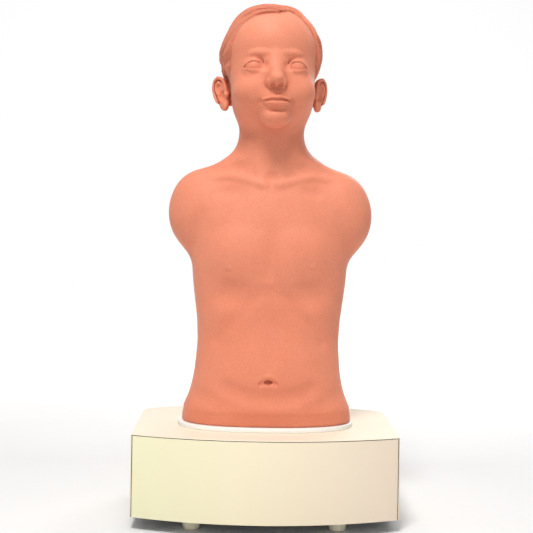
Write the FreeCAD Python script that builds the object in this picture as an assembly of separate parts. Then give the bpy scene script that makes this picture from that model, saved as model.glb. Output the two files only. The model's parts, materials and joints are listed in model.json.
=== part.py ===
import FreeCAD
import Part
import math
import os

# Child-size training mannequin: a soft head-and-torso skin over foam and a steel spine. It stands on
# an oval plate and drops into a socket in a weighted box base on four feet. Millimetres, +Z up, the
# face looks along -Y, and the origin is on the floor under the middle of the base.

# Base
foot_height = 17.0
foot_top_radius = 12.8
foot_bottom_radius = 11.4
foot_edge_round = 3.0
foot_spacing_x = 196.0
foot_spacing_y = 198.0
base_height = 110.0
base_front_width = 358.0
base_rear_width = 370.0
base_side_depth = 206.0
base_front_bow = 34.0
base_rear_bow = 48.0
rear_corner_radius = 32.0
cover_wall = 3.0
cover_lip = 1.2
cover_edge_round = 1.0
panel_thickness = 3.0
panel_reveal = 1.0
pan_thickness = 2.0
pan_flange_height = 26.0
pan_clearance = 0.5

# Socket, hold-down and ballast
socket_wall = 2.5
socket_clearance = 0.5
bridge_plate = 4.0
bridge_width = 60.0
bridge_span = 96.0
bridge_foot_length = 20.0
knob_radius = 20.0
knob_height = 16.0
knob_rise = 5.0
finger_room = 22.0
knob_lobes = 6
washer_height = 2.5
washer_radius = 12.0
bolt_radius = 4.0
thread_clearance = 0.05
free_gap = 0.2
touch_gap = 0.1
ballast_length = 150.0
ballast_thickness = 18.0
ballast_gap = 4.0
board_thickness = 12.0
board_size = (190.0, 130.0)
post_radius = 6.0
post_spacing = (104.0, 100.0)
boss_radius = 4.5
boss_inset = 22.0

# Torso
torso_axis_y = -13.0
plate_thickness = 6.0
plate_margin = 4.0
torso_height = 402.0
shoulder_width = 293.0
chest_depth = 146.0
skin_wall = 5.0
foam_gap = 0.4
hem_width = 14.0
hem_thickness = 4.0
ring_thickness = 4.0
spine_size = 34.0
spine_wall = 2.5
spigot_length = 67.0
spine_cap_height = 16.0
flange_size = 92.0
flange_thickness = 5.0
foam_floor = 13.0
shoulder_bar_radius = 11.0
shoulder_bar_wall = 2.0
shoulder_bar_cover = 40.0
shoulder_disc_radius = 24.0
shoulder_disc_thickness = 9.0

# Head
head_height = 196.0
head_width = 146.0
head_depth = 178.0
head_forward = 8.0
head_turn = 4.0
head_tilt = 4.0
head_board_thickness = 10.0
head_board_size = (70.0, 86.0)

# Fasteners
m4_radius = 2.0
m4_head_radius = 3.8
m4_head_height = 2.4
panel_screw_radius = 1.6
panel_screw_bite = 1.4
m6_radius = 3.0
m6_head_radius = 5.6
m6_head_height = 3.2
m6_nut_radius = 5.5
m6_nut_height = 5.0
m4_nut_radius = 3.8
m4_nut_height = 3.2
hole_clearance = 0.25

# Levels
base_bottom = foot_height
base_top = foot_height + base_height
pan_top = base_bottom + pan_thickness
cover_ceiling = base_top - cover_wall
knob_bottom = base_bottom + knob_rise
washer_bottom = knob_bottom + knob_height
bridge_bottom = washer_bottom + washer_height + free_gap
bridge_top = bridge_bottom + bridge_plate
board_bottom = cover_ceiling - board_thickness
collar_height = 5.0
socket_top = base_top - collar_height
plate_top = base_top + plate_thickness
spigot_bottom = base_top - spigot_length
plug_height = 14.0
bolt_top = spigot_bottom + plug_height - 1.0
flange_top = plate_top + flange_thickness
chin_level = plate_top + torso_height
crown_level = chin_level + head_height
shoulder_level = plate_top + 0.76 * torso_height
neck_split = plate_top + 0.97 * torso_height
spine_top = chin_level + 0.6 * head_height
head_board_top = spine_top + head_board_thickness

# Plan of the base
front_y = -(base_side_depth + base_front_bow + base_rear_bow) / 2
corner_y = front_y + base_front_bow
rear_corner_y = corner_y + base_side_depth
rear_y = rear_corner_y + base_rear_bow

# One row for each level of the body: height share, half-width share of half the shoulder width,
# half-depth share of half the chest depth, shift back of the middle in the same share, squareness.
BODY_SECTIONS = [
    (0.000, 0.822, 1.040, 0.000, 2.5),
    (0.030, 0.826, 1.045, 0.000, 2.5),
    (0.065, 0.790, 1.030, -0.020, 2.5),
    (0.100, 0.757, 1.010, -0.040, 2.4),
    (0.137, 0.731, 0.995, -0.050, 2.4),
    (0.209, 0.701, 0.945, -0.045, 2.3),
    (0.279, 0.688, 0.915, -0.030, 2.3),
    (0.351, 0.702, 0.930, -0.015, 2.3),
    (0.423, 0.731, 0.960, 0.000, 2.3),
    (0.494, 0.750, 0.985, 0.015, 2.4),
    (0.530, 0.761, 0.995, 0.025, 2.4),
    (0.565, 0.795, 0.995, 0.040, 2.4),
    (0.602, 0.855, 0.990, 0.055, 2.5),
    (0.637, 0.920, 0.975, 0.070, 2.5),
    (0.672, 0.957, 0.955, 0.085, 2.5),
    (0.709, 0.990, 0.930, 0.100, 2.6),
    (0.744, 1.000, 0.895, 0.115, 2.6),
    (0.780, 0.986, 0.845, 0.130, 2.6),
    (0.816, 0.945, 0.785, 0.145, 2.5),
    (0.851, 0.865, 0.725, 0.155, 2.4),
    (0.873, 0.765, 0.695, 0.155, 2.3),
    (0.894, 0.632, 0.670, 0.145, 2.2),
    (0.915, 0.518, 0.650, 0.130, 2.1),
    (0.938, 0.421, 0.635, 0.105, 2.0),
    (0.958, 0.362, 0.630, 0.080, 2.0),
    (1.000, 0.324, 0.625, 0.030, 2.0),
    (1.080, 0.324, 0.620, 0.000, 2.0),
]
# One row for each level of the head, chin to crown: height share, half-width share, front and back
# of the level as shares of half the head's depth, squareness.
HEAD_SECTIONS = [
    (0.000, 0.240, -0.800, -0.250, 2.0),
    (0.020, 0.380, -0.860, -0.050, 2.0),
    (0.060, 0.520, -0.885, 0.150, 2.0),
    (0.120, 0.660, -0.890, 0.360, 2.1),
    (0.200, 0.770, -0.890, 0.560, 2.2),
    (0.300, 0.860, -0.900, 0.760, 2.2),
    (0.400, 0.910, -0.910, 0.900, 2.2),
    (0.500, 0.955, -0.925, 0.980, 2.2),
    (0.600, 0.990, -0.950, 1.000, 2.2),
    (0.700, 1.000, -0.955, 0.985, 2.2),
    (0.800, 0.960, -0.910, 0.930, 2.2),
    (0.880, 0.840, -0.790, 0.810, 2.1),
    (0.940, 0.640, -0.600, 0.620, 2.0),
    (0.980, 0.380, -0.360, 0.380, 2.0),
    (1.000, 0.120, -0.120, 0.120, 2.0),
]
RING_POINTS = 24


def save(name, shape):
    if not shape.isValid():
        raise ValueError(name + " is not a valid shape")
    shape.exportStep("parts/" + name + ".step")


def vector(x, y, z=0.0):
    return FreeCAD.Vector(x, y, z)


def slab(size_x, size_y, low, high, x=0.0, y=torso_axis_y):
    return Part.makeBox(size_x, size_y, high - low, vector(x - size_x / 2, y - size_y / 2, low))


def rod(radius, low, high, x=0.0, y=torso_axis_y):
    return Part.makeCylinder(radius, high - low, vector(x, y, low))


def joined(shapes):
    whole = shapes[0]
    if len(shapes) > 1:
        whole = whole.fuse(shapes[1:])
    return whole.removeSplitter()


def group(shapes):
    return Part.makeCompound(shapes)


def four(spacing_x, spacing_y, y=torso_axis_y):
    return [(sx * spacing_x / 2, y + sy * spacing_y / 2) for sx in (-1, 1) for sy in (-1, 1)]


def vertical_edges(shape, test):
    found = []
    for edge in shape.Edges:
        first, last = edge.Vertexes[0].Point, edge.Vertexes[-1].Point
        upright = abs(first.x - last.x) < 0.01 and abs(first.y - last.y) < 0.01
        if upright and abs(first.z - last.z) > 0.1 and test(first):
            found.append(edge)
    return found


def square_bar(size, low, high, corner):
    bar = slab(size, size, low, high)
    return bar.makeFillet(corner, vertical_edges(bar, lambda point: True))


def square_tube(size, wall, low, high):
    corner = wall * 1.2
    inside = square_bar(size - 2 * wall, low - 1, high + 1, corner - wall * 0.8)
    return square_bar(size, low, high, corner).cut(inside)


def screw(radius, head_radius, head_height, x, y, under_head, length, head_down=True):
    way = -1 if head_down else 1
    head = rod(head_radius, min(0, way * head_height), max(0, way * head_height), x, y)
    shank = rod(radius, min(0, -way * length), max(0, -way * length), x, y)
    whole = head.fuse(shank).removeSplitter()
    whole.translate(vector(0, 0, under_head))
    return whole


def countersunk(radius, head_radius, head_height, x, y, face, length):
    head = Part.makeCone(head_radius, radius, head_height, vector(x, y, face))
    return head.fuse(rod(radius, face + head_height / 2, face + length, x, y)).removeSplitter()


def hexagon(radius, low, high, x, y):
    corners = [vector(x + radius * math.cos(math.radians(60 * i)),
                      y + radius * math.sin(math.radians(60 * i)), low) for i in range(7)]
    return Part.Face(Part.makePolygon(corners)).extrude(vector(0, 0, high - low))


def nut(radius, bore, low, height, x, y):
    return hexagon(radius, low, low + height, x, y).cut(rod(bore, low - 1, low + height + 1, x, y))


# Base ---------------------------------------------------------------------------------------------

def arc_radius(half_chord, bow):
    return (half_chord ** 2 + bow ** 2) / (2 * bow)


def line_meets_circle(start, end, centre_y, radius, take_last):
    dx, dy = end[0] - start[0], end[1] - start[1]
    fx, fy = start[0], start[1] - centre_y
    a = dx * dx + dy * dy
    b = 2 * (fx * dx + fy * dy)
    c = fx * fx + fy * fy - radius * radius
    root = math.sqrt(b * b - 4 * a * c)
    t = (-b + root) / (2 * a) if take_last else (-b - root) / (2 * a)
    return start[0] + t * dx, start[1] + t * dy


def base_plan(side_inset, front_inset=None):
    """The base's outline in plan, every side moved inwards by side_inset."""
    front_inset = side_inset if front_inset is None else front_inset
    front_radius = arc_radius(base_front_width / 2, base_front_bow)
    rear_radius = arc_radius(base_rear_width / 2, base_rear_bow)
    front_centre, rear_centre = front_y + front_radius, rear_y - rear_radius
    start, end = (base_front_width / 2, corner_y), (base_rear_width / 2, rear_corner_y)
    length = math.hypot(end[0] - start[0], end[1] - start[1])
    out = ((end[1] - start[1]) / length, -(end[0] - start[0]) / length)
    start = (start[0] - out[0] * side_inset, start[1] - out[1] * side_inset)
    end = (end[0] - out[0] * side_inset, end[1] - out[1] * side_inset)
    front = line_meets_circle(start, end, front_centre, front_radius - front_inset, False)
    rear = line_meets_circle(start, end, rear_centre, rear_radius - side_inset, True)
    near, far = front_centre - front_radius + front_inset, rear_centre + rear_radius - side_inset
    edges = [
        Part.Arc(vector(-front[0], front[1]), vector(0, near), vector(*front)).toShape(),
        Part.LineSegment(vector(*front), vector(*rear)).toShape(),
        Part.Arc(vector(*rear), vector(0, far), vector(-rear[0], rear[1])).toShape(),
        Part.LineSegment(vector(-rear[0], rear[1]), vector(-front[0], front[1])).toShape(),
    ]
    return Part.Face(Part.Wire(edges))


def base_block(low, high, side_inset, front_inset=None):
    block = base_plan(side_inset, front_inset).extrude(vector(0, 0, high - low))
    block.translate(vector(0, 0, low))
    corners = vertical_edges(block, lambda point: point.y > 0)
    return block.makeFillet(rear_corner_radius - side_inset, corners)


def boss_places():
    side = base_front_width / 2 - boss_inset
    return [(-side, corner_y + 34), (side, corner_y + 34),
            (-side, rear_corner_y - 40), (side, rear_corner_y - 40),
            (-base_front_width / 5, rear_y - 32), (base_front_width / 5, rear_y - 32)]


def panel_band(side_inset, front_inset, depth, low, high):
    whole = base_block(low, high, side_inset, front_inset)
    return whole.cut(base_block(low - 1, high + 1, 0.0, front_inset + depth))


def collar_outer():
    return spine_size + 2 * (socket_clearance + socket_wall) + 4.0


def base_cover():
    shell = base_block(base_bottom, base_top, 0.0)
    rim = [edge for edge in shell.Edges
           if all(abs(v.Point.z - base_top) < 0.01 for v in edge.Vertexes)]
    shell = shell.makeFillet(cover_edge_round, rim)
    shell = shell.cut(base_block(base_bottom - 1, cover_ceiling, cover_wall,
                                 panel_thickness + free_gap))
    shell = shell.cut(panel_band(cover_lip, -5.0, 5.0 + panel_thickness + free_gap,
                                 base_bottom - 1, base_top - cover_lip))
    bosses = [rod(boss_radius, pan_top, cover_ceiling + 1, x, y) for x, y in boss_places()]
    shell = joined([shell] + bosses)
    for x, y in boss_places():
        shell = shell.cut(rod(m4_radius + hole_clearance, pan_top - 1, pan_top + 14, x, y))
    return shell.cut(slab(collar_outer() + 0.4, collar_outer() + 0.4, socket_top, base_top + 1))


def panel_screw_places():
    """Screws that hold the front panel: x, and height above the base's bottom."""
    x = base_front_width / 3
    return [(-x, 14.0), (0.0, 14.0), (x, 14.0)]


def front_arc_y(x, inset):
    radius = arc_radius(base_front_width / 2, base_front_bow)
    return front_y + radius - math.sqrt((radius - inset) ** 2 - x * x)


def along_y(radius, x, z, low, high):
    return Part.makeCylinder(radius, high - low, vector(x, low, z), vector(0, 1, 0))


def panel_bracket_places():
    return (-base_front_width / 4, base_front_width / 4)


def front_panel():
    panel = panel_band(cover_lip + panel_reveal, 0.0, panel_thickness,
                       base_bottom, base_top - cover_lip - panel_reveal)
    behind = base_block(base_bottom, base_top, 0.0, panel_thickness + pan_clearance - touch_gap)
    for x, up in panel_screw_places():
        face = front_arc_y(x, panel_thickness)
        boss = along_y(boss_radius, x, base_bottom + up, face - panel_thickness / 2, face + panel_thickness)
        panel = panel.fuse(boss.cut(behind))
        panel = panel.cut(along_y(panel_screw_radius, x, base_bottom + up, face - panel_screw_bite, face + 20))
    return panel.removeSplitter()


def panel_brackets():
    """Angles glued under the cover, behind the panel's upper edge."""
    wide, leg, sheet = 30.0, 18.0, 2.0
    angles = []
    for x in panel_bracket_places():
        near = max(front_arc_y(x - wide / 2, panel_thickness), front_arc_y(x + wide / 2, panel_thickness))
        near += free_gap + 0.2
        flat = Part.makeBox(wide, leg, sheet, vector(x - wide / 2, near, cover_ceiling - sheet))
        drop = Part.makeBox(wide, sheet, leg, vector(x - wide / 2, near, cover_ceiling - leg))
        angles.append(flat.fuse(drop).removeSplitter())
    return group(angles)


def base_pan():
    inset = cover_wall + pan_clearance
    front = panel_thickness + pan_clearance
    tray = base_block(base_bottom, base_bottom + pan_flange_height, inset, front)
    tray = tray.cut(base_block(pan_top, base_bottom + pan_flange_height + 1,
                               inset + pan_thickness, front + pan_thickness))
    holes = [rod(knob_radius + finger_room, base_bottom - 1, pan_top + 1)]
    holes += [rod(m4_radius + hole_clearance, base_bottom - 1, pan_top + 1, x, y)
              for x, y in foot_places() + boss_places()]
    holes += [rod(m6_radius + hole_clearance, base_bottom - 1, pan_top + 1, x, y)
              for x, y in bridge_bolt_places() + ballast_bolt_places() + post_places()]
    holes += [along_y(m4_radius + hole_clearance, x, base_bottom + up,
                      front_arc_y(x, panel_thickness) - 1, front_arc_y(x, panel_thickness) + 20)
              for x, up in panel_screw_places()]
    return tray.cut(holes)


def panel_screws():
    screws = []
    for x, up in panel_screw_places():
        lean = abs(x) / arc_radius(base_front_width / 2, base_front_bow)
        seat = front_arc_y(x, panel_thickness + pan_clearance + pan_thickness)
        seat += 1.2 * m4_head_radius * lean + touch_gap
        tip = front_arc_y(x, panel_thickness) - panel_screw_bite + touch_gap
        shank = along_y(panel_screw_radius, x, base_bottom + up, tip, seat)
        head = along_y(m4_head_radius, x, base_bottom + up, seat, seat + m4_head_height)
        screws.append(shank.fuse(head).removeSplitter())
    return group(screws)


def foot_places():
    return four(foot_spacing_x, foot_spacing_y, 0.0)


def foot(x, y):
    drum = Part.makeCone(foot_bottom_radius, foot_top_radius, foot_height, vector(x, y, 0))
    ground = [edge for edge in drum.Edges
              if abs(edge.BoundBox.ZMax) < 0.01 and edge.BoundBox.XLength > foot_bottom_radius]
    drum = drum.makeFillet(foot_edge_round, ground)
    drum = drum.cut(rod(m4_head_radius + 0.8, -1, foot_height / 2, x, y))
    return drum.cut(rod(m4_radius + hole_clearance, -1, foot_height + 1, x, y))


def foot_washers():
    return group([rod(m4_head_radius + 0.5, foot_height / 2 - 1, foot_height / 2, x, y)
                 .cut(rod(m4_radius + hole_clearance, 0, foot_height, x, y)) for x, y in foot_places()])


def foot_screws():
    reach = foot_height / 2 + 1 + pan_thickness + m4_nut_height + 1
    return group([screw(m4_radius, m4_head_radius, m4_head_height, x, y, foot_height / 2 - 1, reach)
                  for x, y in foot_places()])


def foot_nuts():
    return group([nut(m4_nut_radius, m4_radius, pan_top, m4_nut_height, x, y) for x, y in foot_places()])


def pan_screws():
    return group([screw(m4_radius, m4_head_radius, m4_head_height, x, y, base_bottom, 12.0)
                  for x, y in boss_places()])


# Socket, hold-down, ballast and board ---------------------------------------------------------------

def bridge_bolt_places():
    return [(0.0, torso_axis_y + side * (bridge_span + bridge_foot_length) / 2) for side in (-1, 1)]


def socket_bridge():
    top = slab(bridge_width, bridge_span, bridge_bottom, bridge_top)
    legs, feet = [], []
    for side in (-1, 1):
        middle = torso_axis_y + side * (bridge_span - bridge_plate) / 2
        legs.append(slab(bridge_width, bridge_plate, pan_top, bridge_top, 0.0, middle))
        place = torso_axis_y + side * (bridge_span + bridge_foot_length) / 2
        feet.append(slab(bridge_width, bridge_foot_length + 0.1, pan_top, pan_top + bridge_plate, 0.0, place))
    bridge = joined([top] + legs + feet)
    holes = [rod(bolt_radius + 0.5, bridge_bottom - 1, bridge_top + 1)]
    holes += [rod(m6_radius + hole_clearance, pan_top - 1, pan_top + bridge_plate + 1, x, y)
              for x, y in bridge_bolt_places()]
    return bridge.cut(holes)


def through_bolts(places, grip):
    return group([screw(m6_radius, m6_head_radius, m6_head_height, x, y, base_bottom,
                        pan_thickness + grip + m6_nut_height + 1) for x, y in places])


def nuts_on(places, level):
    return group([nut(m6_nut_radius, m6_radius, level, m6_nut_height, x, y) for x, y in places])


def socket_tube():
    outer = spine_size + 2 * (socket_clearance + socket_wall)
    return square_tube(outer, socket_wall, bridge_top, socket_top)


def socket_collar():
    ring = slab(collar_outer(), collar_outer(), socket_top, base_top - 0.2)
    hole = spine_size + 2 * socket_clearance
    return ring.cut(slab(hole, hole, socket_top - 1, base_top + 1))


def post_places():
    return four(post_spacing[0], post_spacing[1])


def board_posts():
    return group([rod(post_radius, pan_top, board_bottom, x, y)
                 .cut(rod(m6_radius, pan_top - 1, pan_top + 14, x, y))
                 .cut(rod(m6_radius, board_bottom - 14, board_bottom + 1, x, y)) for x, y in post_places()])


def post_screws():
    return group([screw(m6_radius, m6_head_radius, m6_head_height, x, y, base_bottom, 12.0)
                  for x, y in post_places()])


def support_board():
    board = slab(board_size[0], board_size[1], board_bottom, cover_ceiling)
    hole = collar_outer() + 1.0
    return board.cut(slab(hole, hole, board_bottom - 1, cover_ceiling + 1))


def ballast_sides():
    """Nearest and farthest x of a ballast bar: it fills the room between the posts and the bosses."""
    near = post_spacing[0] / 2 + post_radius + ballast_gap
    far = base_front_width / 2 - boss_inset - boss_radius - ballast_gap
    return near, far


def ballast_bolt_places():
    middle = sum(ballast_sides()) / 2
    return four(2 * middle, ballast_length * 2 / 3, 0.0)


def ballast(side):
    near, far = ballast_sides()
    block = slab(far - near, ballast_length, pan_top, pan_top + ballast_thickness,
                 side * (near + far) / 2, 0.0)
    return block.cut([rod(m6_radius + hole_clearance, pan_top - 1, pan_top + ballast_thickness + 1, x, y)
                      for x, y in ballast_bolt_places()])


def hold_down_washer():
    ring = rod(washer_radius, washer_bottom, washer_bottom + washer_height)
    return ring.cut(rod(bolt_radius + 0.1, washer_bottom - 1, washer_bottom + washer_height + 1))


def hold_down_bolt():
    return rod(bolt_radius, knob_bottom + 3, bolt_top)


def hold_down_knob():
    knob = rod(knob_radius, knob_bottom, washer_bottom - 0.1)
    scoop = knob_radius / 3.2
    for i in range(knob_lobes):
        angle = math.radians(360.0 / knob_lobes * i)
        knob = knob.cut(rod(scoop, knob_bottom - 1, washer_bottom, knob_radius * 1.12 * math.cos(angle),
                            torso_axis_y + knob_radius * 1.12 * math.sin(angle)))
    return knob.cut(rod(bolt_radius, knob_bottom + 3, washer_bottom + 1))


def spine_filling(low, high):
    """A block that fills the inside of the square spine between two levels."""
    return square_bar(spine_size - 2 * (spine_wall + touch_gap), low, high, spine_wall * 0.6)


def spigot_plug():
    plug = spine_filling(spigot_bottom, spigot_bottom + plug_height)
    return plug.cut(rod(bolt_radius + thread_clearance, spigot_bottom - 1, spigot_bottom + plug_height + 1))


# Body -----------------------------------------------------------------------------------------------

def section_sizes(inset):
    """Level, half-width, half-depth, middle and squareness of each section, moved in by inset."""
    rows = [(plate_top + t * torso_height, w * shoulder_width / 2, d * chest_depth / 2,
             torso_axis_y + c * chest_depth / 2, n) for t, w, d, c, n in BODY_SECTIONS]
    sizes = []
    for i, (level, wide, deep, middle, power) in enumerate(rows):
        below, above = rows[max(i - 1, 0)], rows[min(i + 1, len(rows) - 1)]
        lean_x, lean_z = above[1] - below[1], above[0] - below[0]
        length = math.hypot(lean_x, lean_z)
        drop = inset * max(0.0, -lean_x / length)
        sizes.append((level - drop, wide - inset * lean_z / length, deep - inset, middle, power))
    return sizes


def ring(level, wide, deep, middle, power):
    """Control points of one level. The curve they steer runs inside them, so they stand out a little."""
    swell = 3 / (2 + math.cos(2 * math.pi / RING_POINTS))
    points = []
    for i in range(RING_POINTS):
        angle = 2 * math.pi * i / RING_POINTS
        across, along = math.cos(angle), math.sin(angle)
        x = math.copysign(abs(across) ** (2 / power), across) * wide * swell
        y = math.copysign(abs(along) ** (2 / power), along) * deep * swell
        points.append(vector(x, middle + y, level))
    return points


def ring_wire(*size):
    curve = Part.BSplineCurve()
    curve.buildFromPolesMultsKnots(ring(*size), [1] * (RING_POINTS + 1), list(range(RING_POINTS + 1)), True, 3)
    return Part.Wire(curve.toShape())


def smooth_solid(rings):
    """A closed solid on one smooth surface steered by the rings, flat at both ends."""
    count = len(rings)
    poles = [[level[i] for level in rings] for i in range(RING_POINTS)]
    surface = Part.BSplineSurface()
    surface.buildFromPolesMultsKnots(poles, [1] * (RING_POINTS + 1), [4] + [1] * (count - 4) + [4],
                                     list(range(RING_POINTS + 1)), list(range(count - 2)), True, False, 3, 3)
    side = surface.toShape()
    ends = [Part.Face(Part.Wire(edge)) for edge in side.Edges if edge.BoundBox.ZLength < 0.01]
    solid = Part.Solid(Part.makeShell([side] + ends))
    solid.fix(0.001, 0.001, 0.001)
    if solid.Volume < 0:
        solid.reverse()
    return solid


def trunk(inset):
    return smooth_solid([ring(*size) for size in section_sizes(inset)])


def ellipsoid(half_x, half_y, half_z, x, y, z):
    scale = FreeCAD.Matrix()
    scale.scale(half_x, half_y, half_z)
    ball = Part.makeSphere(1.0).transformGeometry(scale)
    ball.translate(vector(x, y, z))
    return ball


def turned(shape):
    """A head piece turned and tipped back with the head."""
    pivot = vector(0, torso_axis_y, chin_level)
    shape = shape.copy()
    shape.rotate(pivot, vector(1, 0, 0), -head_tilt)
    shape.rotate(pivot, vector(0, 0, 1), head_turn)
    return shape


def skull(inset):
    half_height, half_width, half_depth = head_height / 2, head_width / 2, head_depth / 2
    centre_y, centre_z = torso_axis_y - head_forward, chin_level + half_height
    rings = []
    for height, wide, front, rear, power in HEAD_SECTIONS:
        level = centre_z + (2 * height - 1) * (half_height - inset)
        middle = centre_y + (front + rear) / 2 * half_depth
        rings.append(ring(level, wide * (half_width - inset), (rear - front) / 2 * (half_depth - inset),
                          middle, power))
    return turned(smooth_solid(rings))


def nose():
    return turned(ellipsoid(0.080 * head_width, 0.085 * head_depth, 0.085 * head_height, 0,
                            torso_axis_y - head_forward - 0.44 * head_depth, chin_level + 0.36 * head_height))


def ear(side):
    return turned(ellipsoid(0.068 * head_width, 0.095 * head_depth, 0.15 * head_height,
                            side * 0.5 * head_width, torso_axis_y - head_forward + 0.09 * head_depth,
                            chin_level + 0.40 * head_height))


def body(inset, with_face=False):
    pieces = [skull(inset)]
    if with_face:
        pieces += [nose(), ear(-1), ear(1)]
    return trunk(inset).fuse(pieces)


def hem_outline(inset, low, high):
    level, wide, deep, middle, power = section_sizes(0.0)[0]
    face = Part.Face(ring_wire(low, wide - inset, deep - inset, middle, power))
    return face.extrude(vector(0, 0, high - low))


def skin():
    shell = body(0.0, True).cut(body(skin_wall))
    hem = hem_outline(0.4, plate_top, plate_top + hem_thickness)
    hem = hem.cut(hem_outline(skin_wall + hem_width, plate_top - 1, plate_top + hem_thickness + 1))
    return shell.fuse(hem)


def spine_hollow():
    size = spine_size + 2 * foam_gap
    spine = slab(size, size, plate_top, spine_top + foam_gap)
    board = slab(head_board_size[0] + 2 * foam_gap, head_board_size[1] + 2 * foam_gap,
                 spine_top - foam_gap, head_board_top + foam_gap)
    pin = along_y(m6_head_radius + 1, 0, shoulder_level, torso_axis_y - spine_size, torso_axis_y + spine_size)
    cap = slab(spine_size, spine_size, head_board_top, head_board_top + m6_head_height + 1)
    return [spine, board, pin, cap]


def shoulder_bar_length():
    return shoulder_width - 2 * shoulder_bar_cover


def along_x(radius, low, high):
    return Part.makeCylinder(radius, high - low, vector(low, torso_axis_y, shoulder_level), vector(1, 0, 0))


def shoulder_hollow():
    half = shoulder_bar_length() / 2
    hollows = [along_x(shoulder_bar_radius + foam_gap, -half - foam_gap, half + foam_gap)]
    for side in (-1, 1):
        ends = sorted((side * (half - shoulder_disc_thickness - foam_gap), side * (half + foam_gap)))
        hollows.append(along_x(shoulder_disc_radius + foam_gap, *ends))
    return hollows


def foam(low, high):
    filling = body(skin_wall + foam_gap)
    size = 2 * shoulder_width
    filling = filling.common(slab(size, size, low, high))
    return filling.cut(spine_hollow() + shoulder_hollow())


def shoulder_bar():
    half = shoulder_bar_length() / 2
    bar = along_x(shoulder_bar_radius, -half, half)
    bar = bar.cut(along_x(shoulder_bar_radius - shoulder_bar_wall, -half - 1, half + 1))
    return bar.cut(along_y(m6_radius + hole_clearance, 0, shoulder_level,
                           torso_axis_y - spine_size, torso_axis_y + spine_size))


def shoulder_discs():
    half = shoulder_bar_length() / 2
    discs = []
    for side in (-1, 1):
        ends = sorted((side * (half - shoulder_disc_thickness), side * half))
        disc = along_x(shoulder_disc_radius, *ends)
        discs.append(disc.cut(along_x(shoulder_bar_radius + 0.05, ends[0] - 1, ends[1] + 1)))
    return group(discs)


def shoulder_pin():
    seat = spine_size / 2
    shank = along_y(m6_radius, 0, shoulder_level, torso_axis_y - seat, torso_axis_y + seat + m6_nut_height)
    head = along_y(m6_head_radius, 0, shoulder_level, torso_axis_y - seat - m6_head_height, torso_axis_y - seat)
    return shank.fuse(head).removeSplitter()


def spine_tube():
    tube = square_tube(spine_size, spine_wall, spigot_bottom, spine_top)
    tube = tube.cut(along_x(shoulder_bar_radius + 0.1, -spine_size, spine_size))
    return tube.cut(along_y(m6_radius + hole_clearance, 0, shoulder_level,
                            torso_axis_y - spine_size, torso_axis_y + spine_size))


def flange_bolt_places():
    return four(flange_size - 22, flange_size - 22)


def spine_flange():
    plate = slab(flange_size, flange_size, plate_top, flange_top)
    plate = plate.makeFillet(8.0, vertical_edges(plate, lambda point: True))
    plate = plate.cut(slab(spine_size, spine_size, plate_top - 1, flange_top + 1))
    return plate.cut([rod(m6_radius + hole_clearance, plate_top - 1, flange_top + 1, x, y)
                      for x, y in flange_bolt_places()])


def flange_bolts():
    return group([countersunk(m6_radius, m6_head_radius, m6_head_height, x, y, base_top + 0.3,
                              plate_thickness + flange_thickness + m6_nut_height + 0.5)
                  for x, y in flange_bolt_places()])


def flange_nuts():
    return nuts_on(flange_bolt_places(), flange_top)


def ring_screw_places():
    level, wide, deep, middle, power = section_sizes(0.0)[0]
    inset = skin_wall + hem_width / 2 + 1
    places = []
    for i in range(8):
        angle = math.radians(22.5 + 45 * i)
        x = math.copysign(abs(math.cos(angle)) ** (2 / power), math.cos(angle)) * (wide - inset)
        y = math.copysign(abs(math.sin(angle)) ** (2 / power), math.sin(angle)) * (deep - inset)
        places.append((x, middle + y))
    return places


def torso_plate():
    level, wide, deep, middle, power = section_sizes(0.0)[0]
    face = Part.Face(ring_wire(base_top, wide + plate_margin, deep + plate_margin, middle, power))
    plate = face.extrude(vector(0, 0, plate_thickness))
    plate = plate.cut(slab(spine_size + 0.4, spine_size + 0.4, base_top - 1, plate_top + 1))
    for x, y in flange_bolt_places():
        plate = plate.cut(rod(m6_radius + hole_clearance, base_top - 1, plate_top + 1, x, y))
        plate = plate.cut(Part.makeCone(m6_head_radius + 0.5, m6_radius, m6_head_height + 0.6, vector(x, y, base_top)))
    for x, y in ring_screw_places():
        plate = plate.cut(rod(m4_radius + hole_clearance, base_top - 1, plate_top + 1, x, y))
        plate = plate.cut(Part.makeCone(m4_head_radius + 0.5, m4_radius, m4_head_height + 0.6, vector(x, y, base_top)))
    return plate


def hem_ring():
    low = plate_top + hem_thickness
    ring = hem_outline(skin_wall + 0.6, low, low + ring_thickness)
    ring = ring.cut(hem_outline(skin_wall + hem_width, low - 1, low + ring_thickness + 1))
    return ring.cut([rod(m4_radius, low - 1, low + ring_thickness + 1, x, y) for x, y in ring_screw_places()])


def ring_screws():
    reach = plate_thickness + hem_thickness + ring_thickness
    return group([countersunk(m4_radius, m4_head_radius, m4_head_height, x, y, base_top + 0.3, reach)
                  for x, y in ring_screw_places()])


def skin_with_holes():
    return skin().cut([rod(m4_radius + hole_clearance, plate_top - 1, plate_top + hem_thickness + 0.5, x, y)
                       for x, y in ring_screw_places()])


def head_board():
    board = slab(head_board_size[0], head_board_size[1], spine_top, head_board_top)
    board = board.makeFillet(20.0, vertical_edges(board, lambda point: True))
    return board.cut(rod(m4_radius + hole_clearance, spine_top - 1, head_board_top + 1))


def spine_cap():
    cap = spine_filling(spine_top - spine_cap_height, spine_top)
    return cap.cut(rod(m4_radius, spine_top - spine_cap_height - 1, spine_top + 1))


def head_board_screw():
    return screw(m4_radius, m4_head_radius, m4_head_height, 0, torso_axis_y, head_board_top,
                 head_board_thickness + 12, False)


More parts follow.
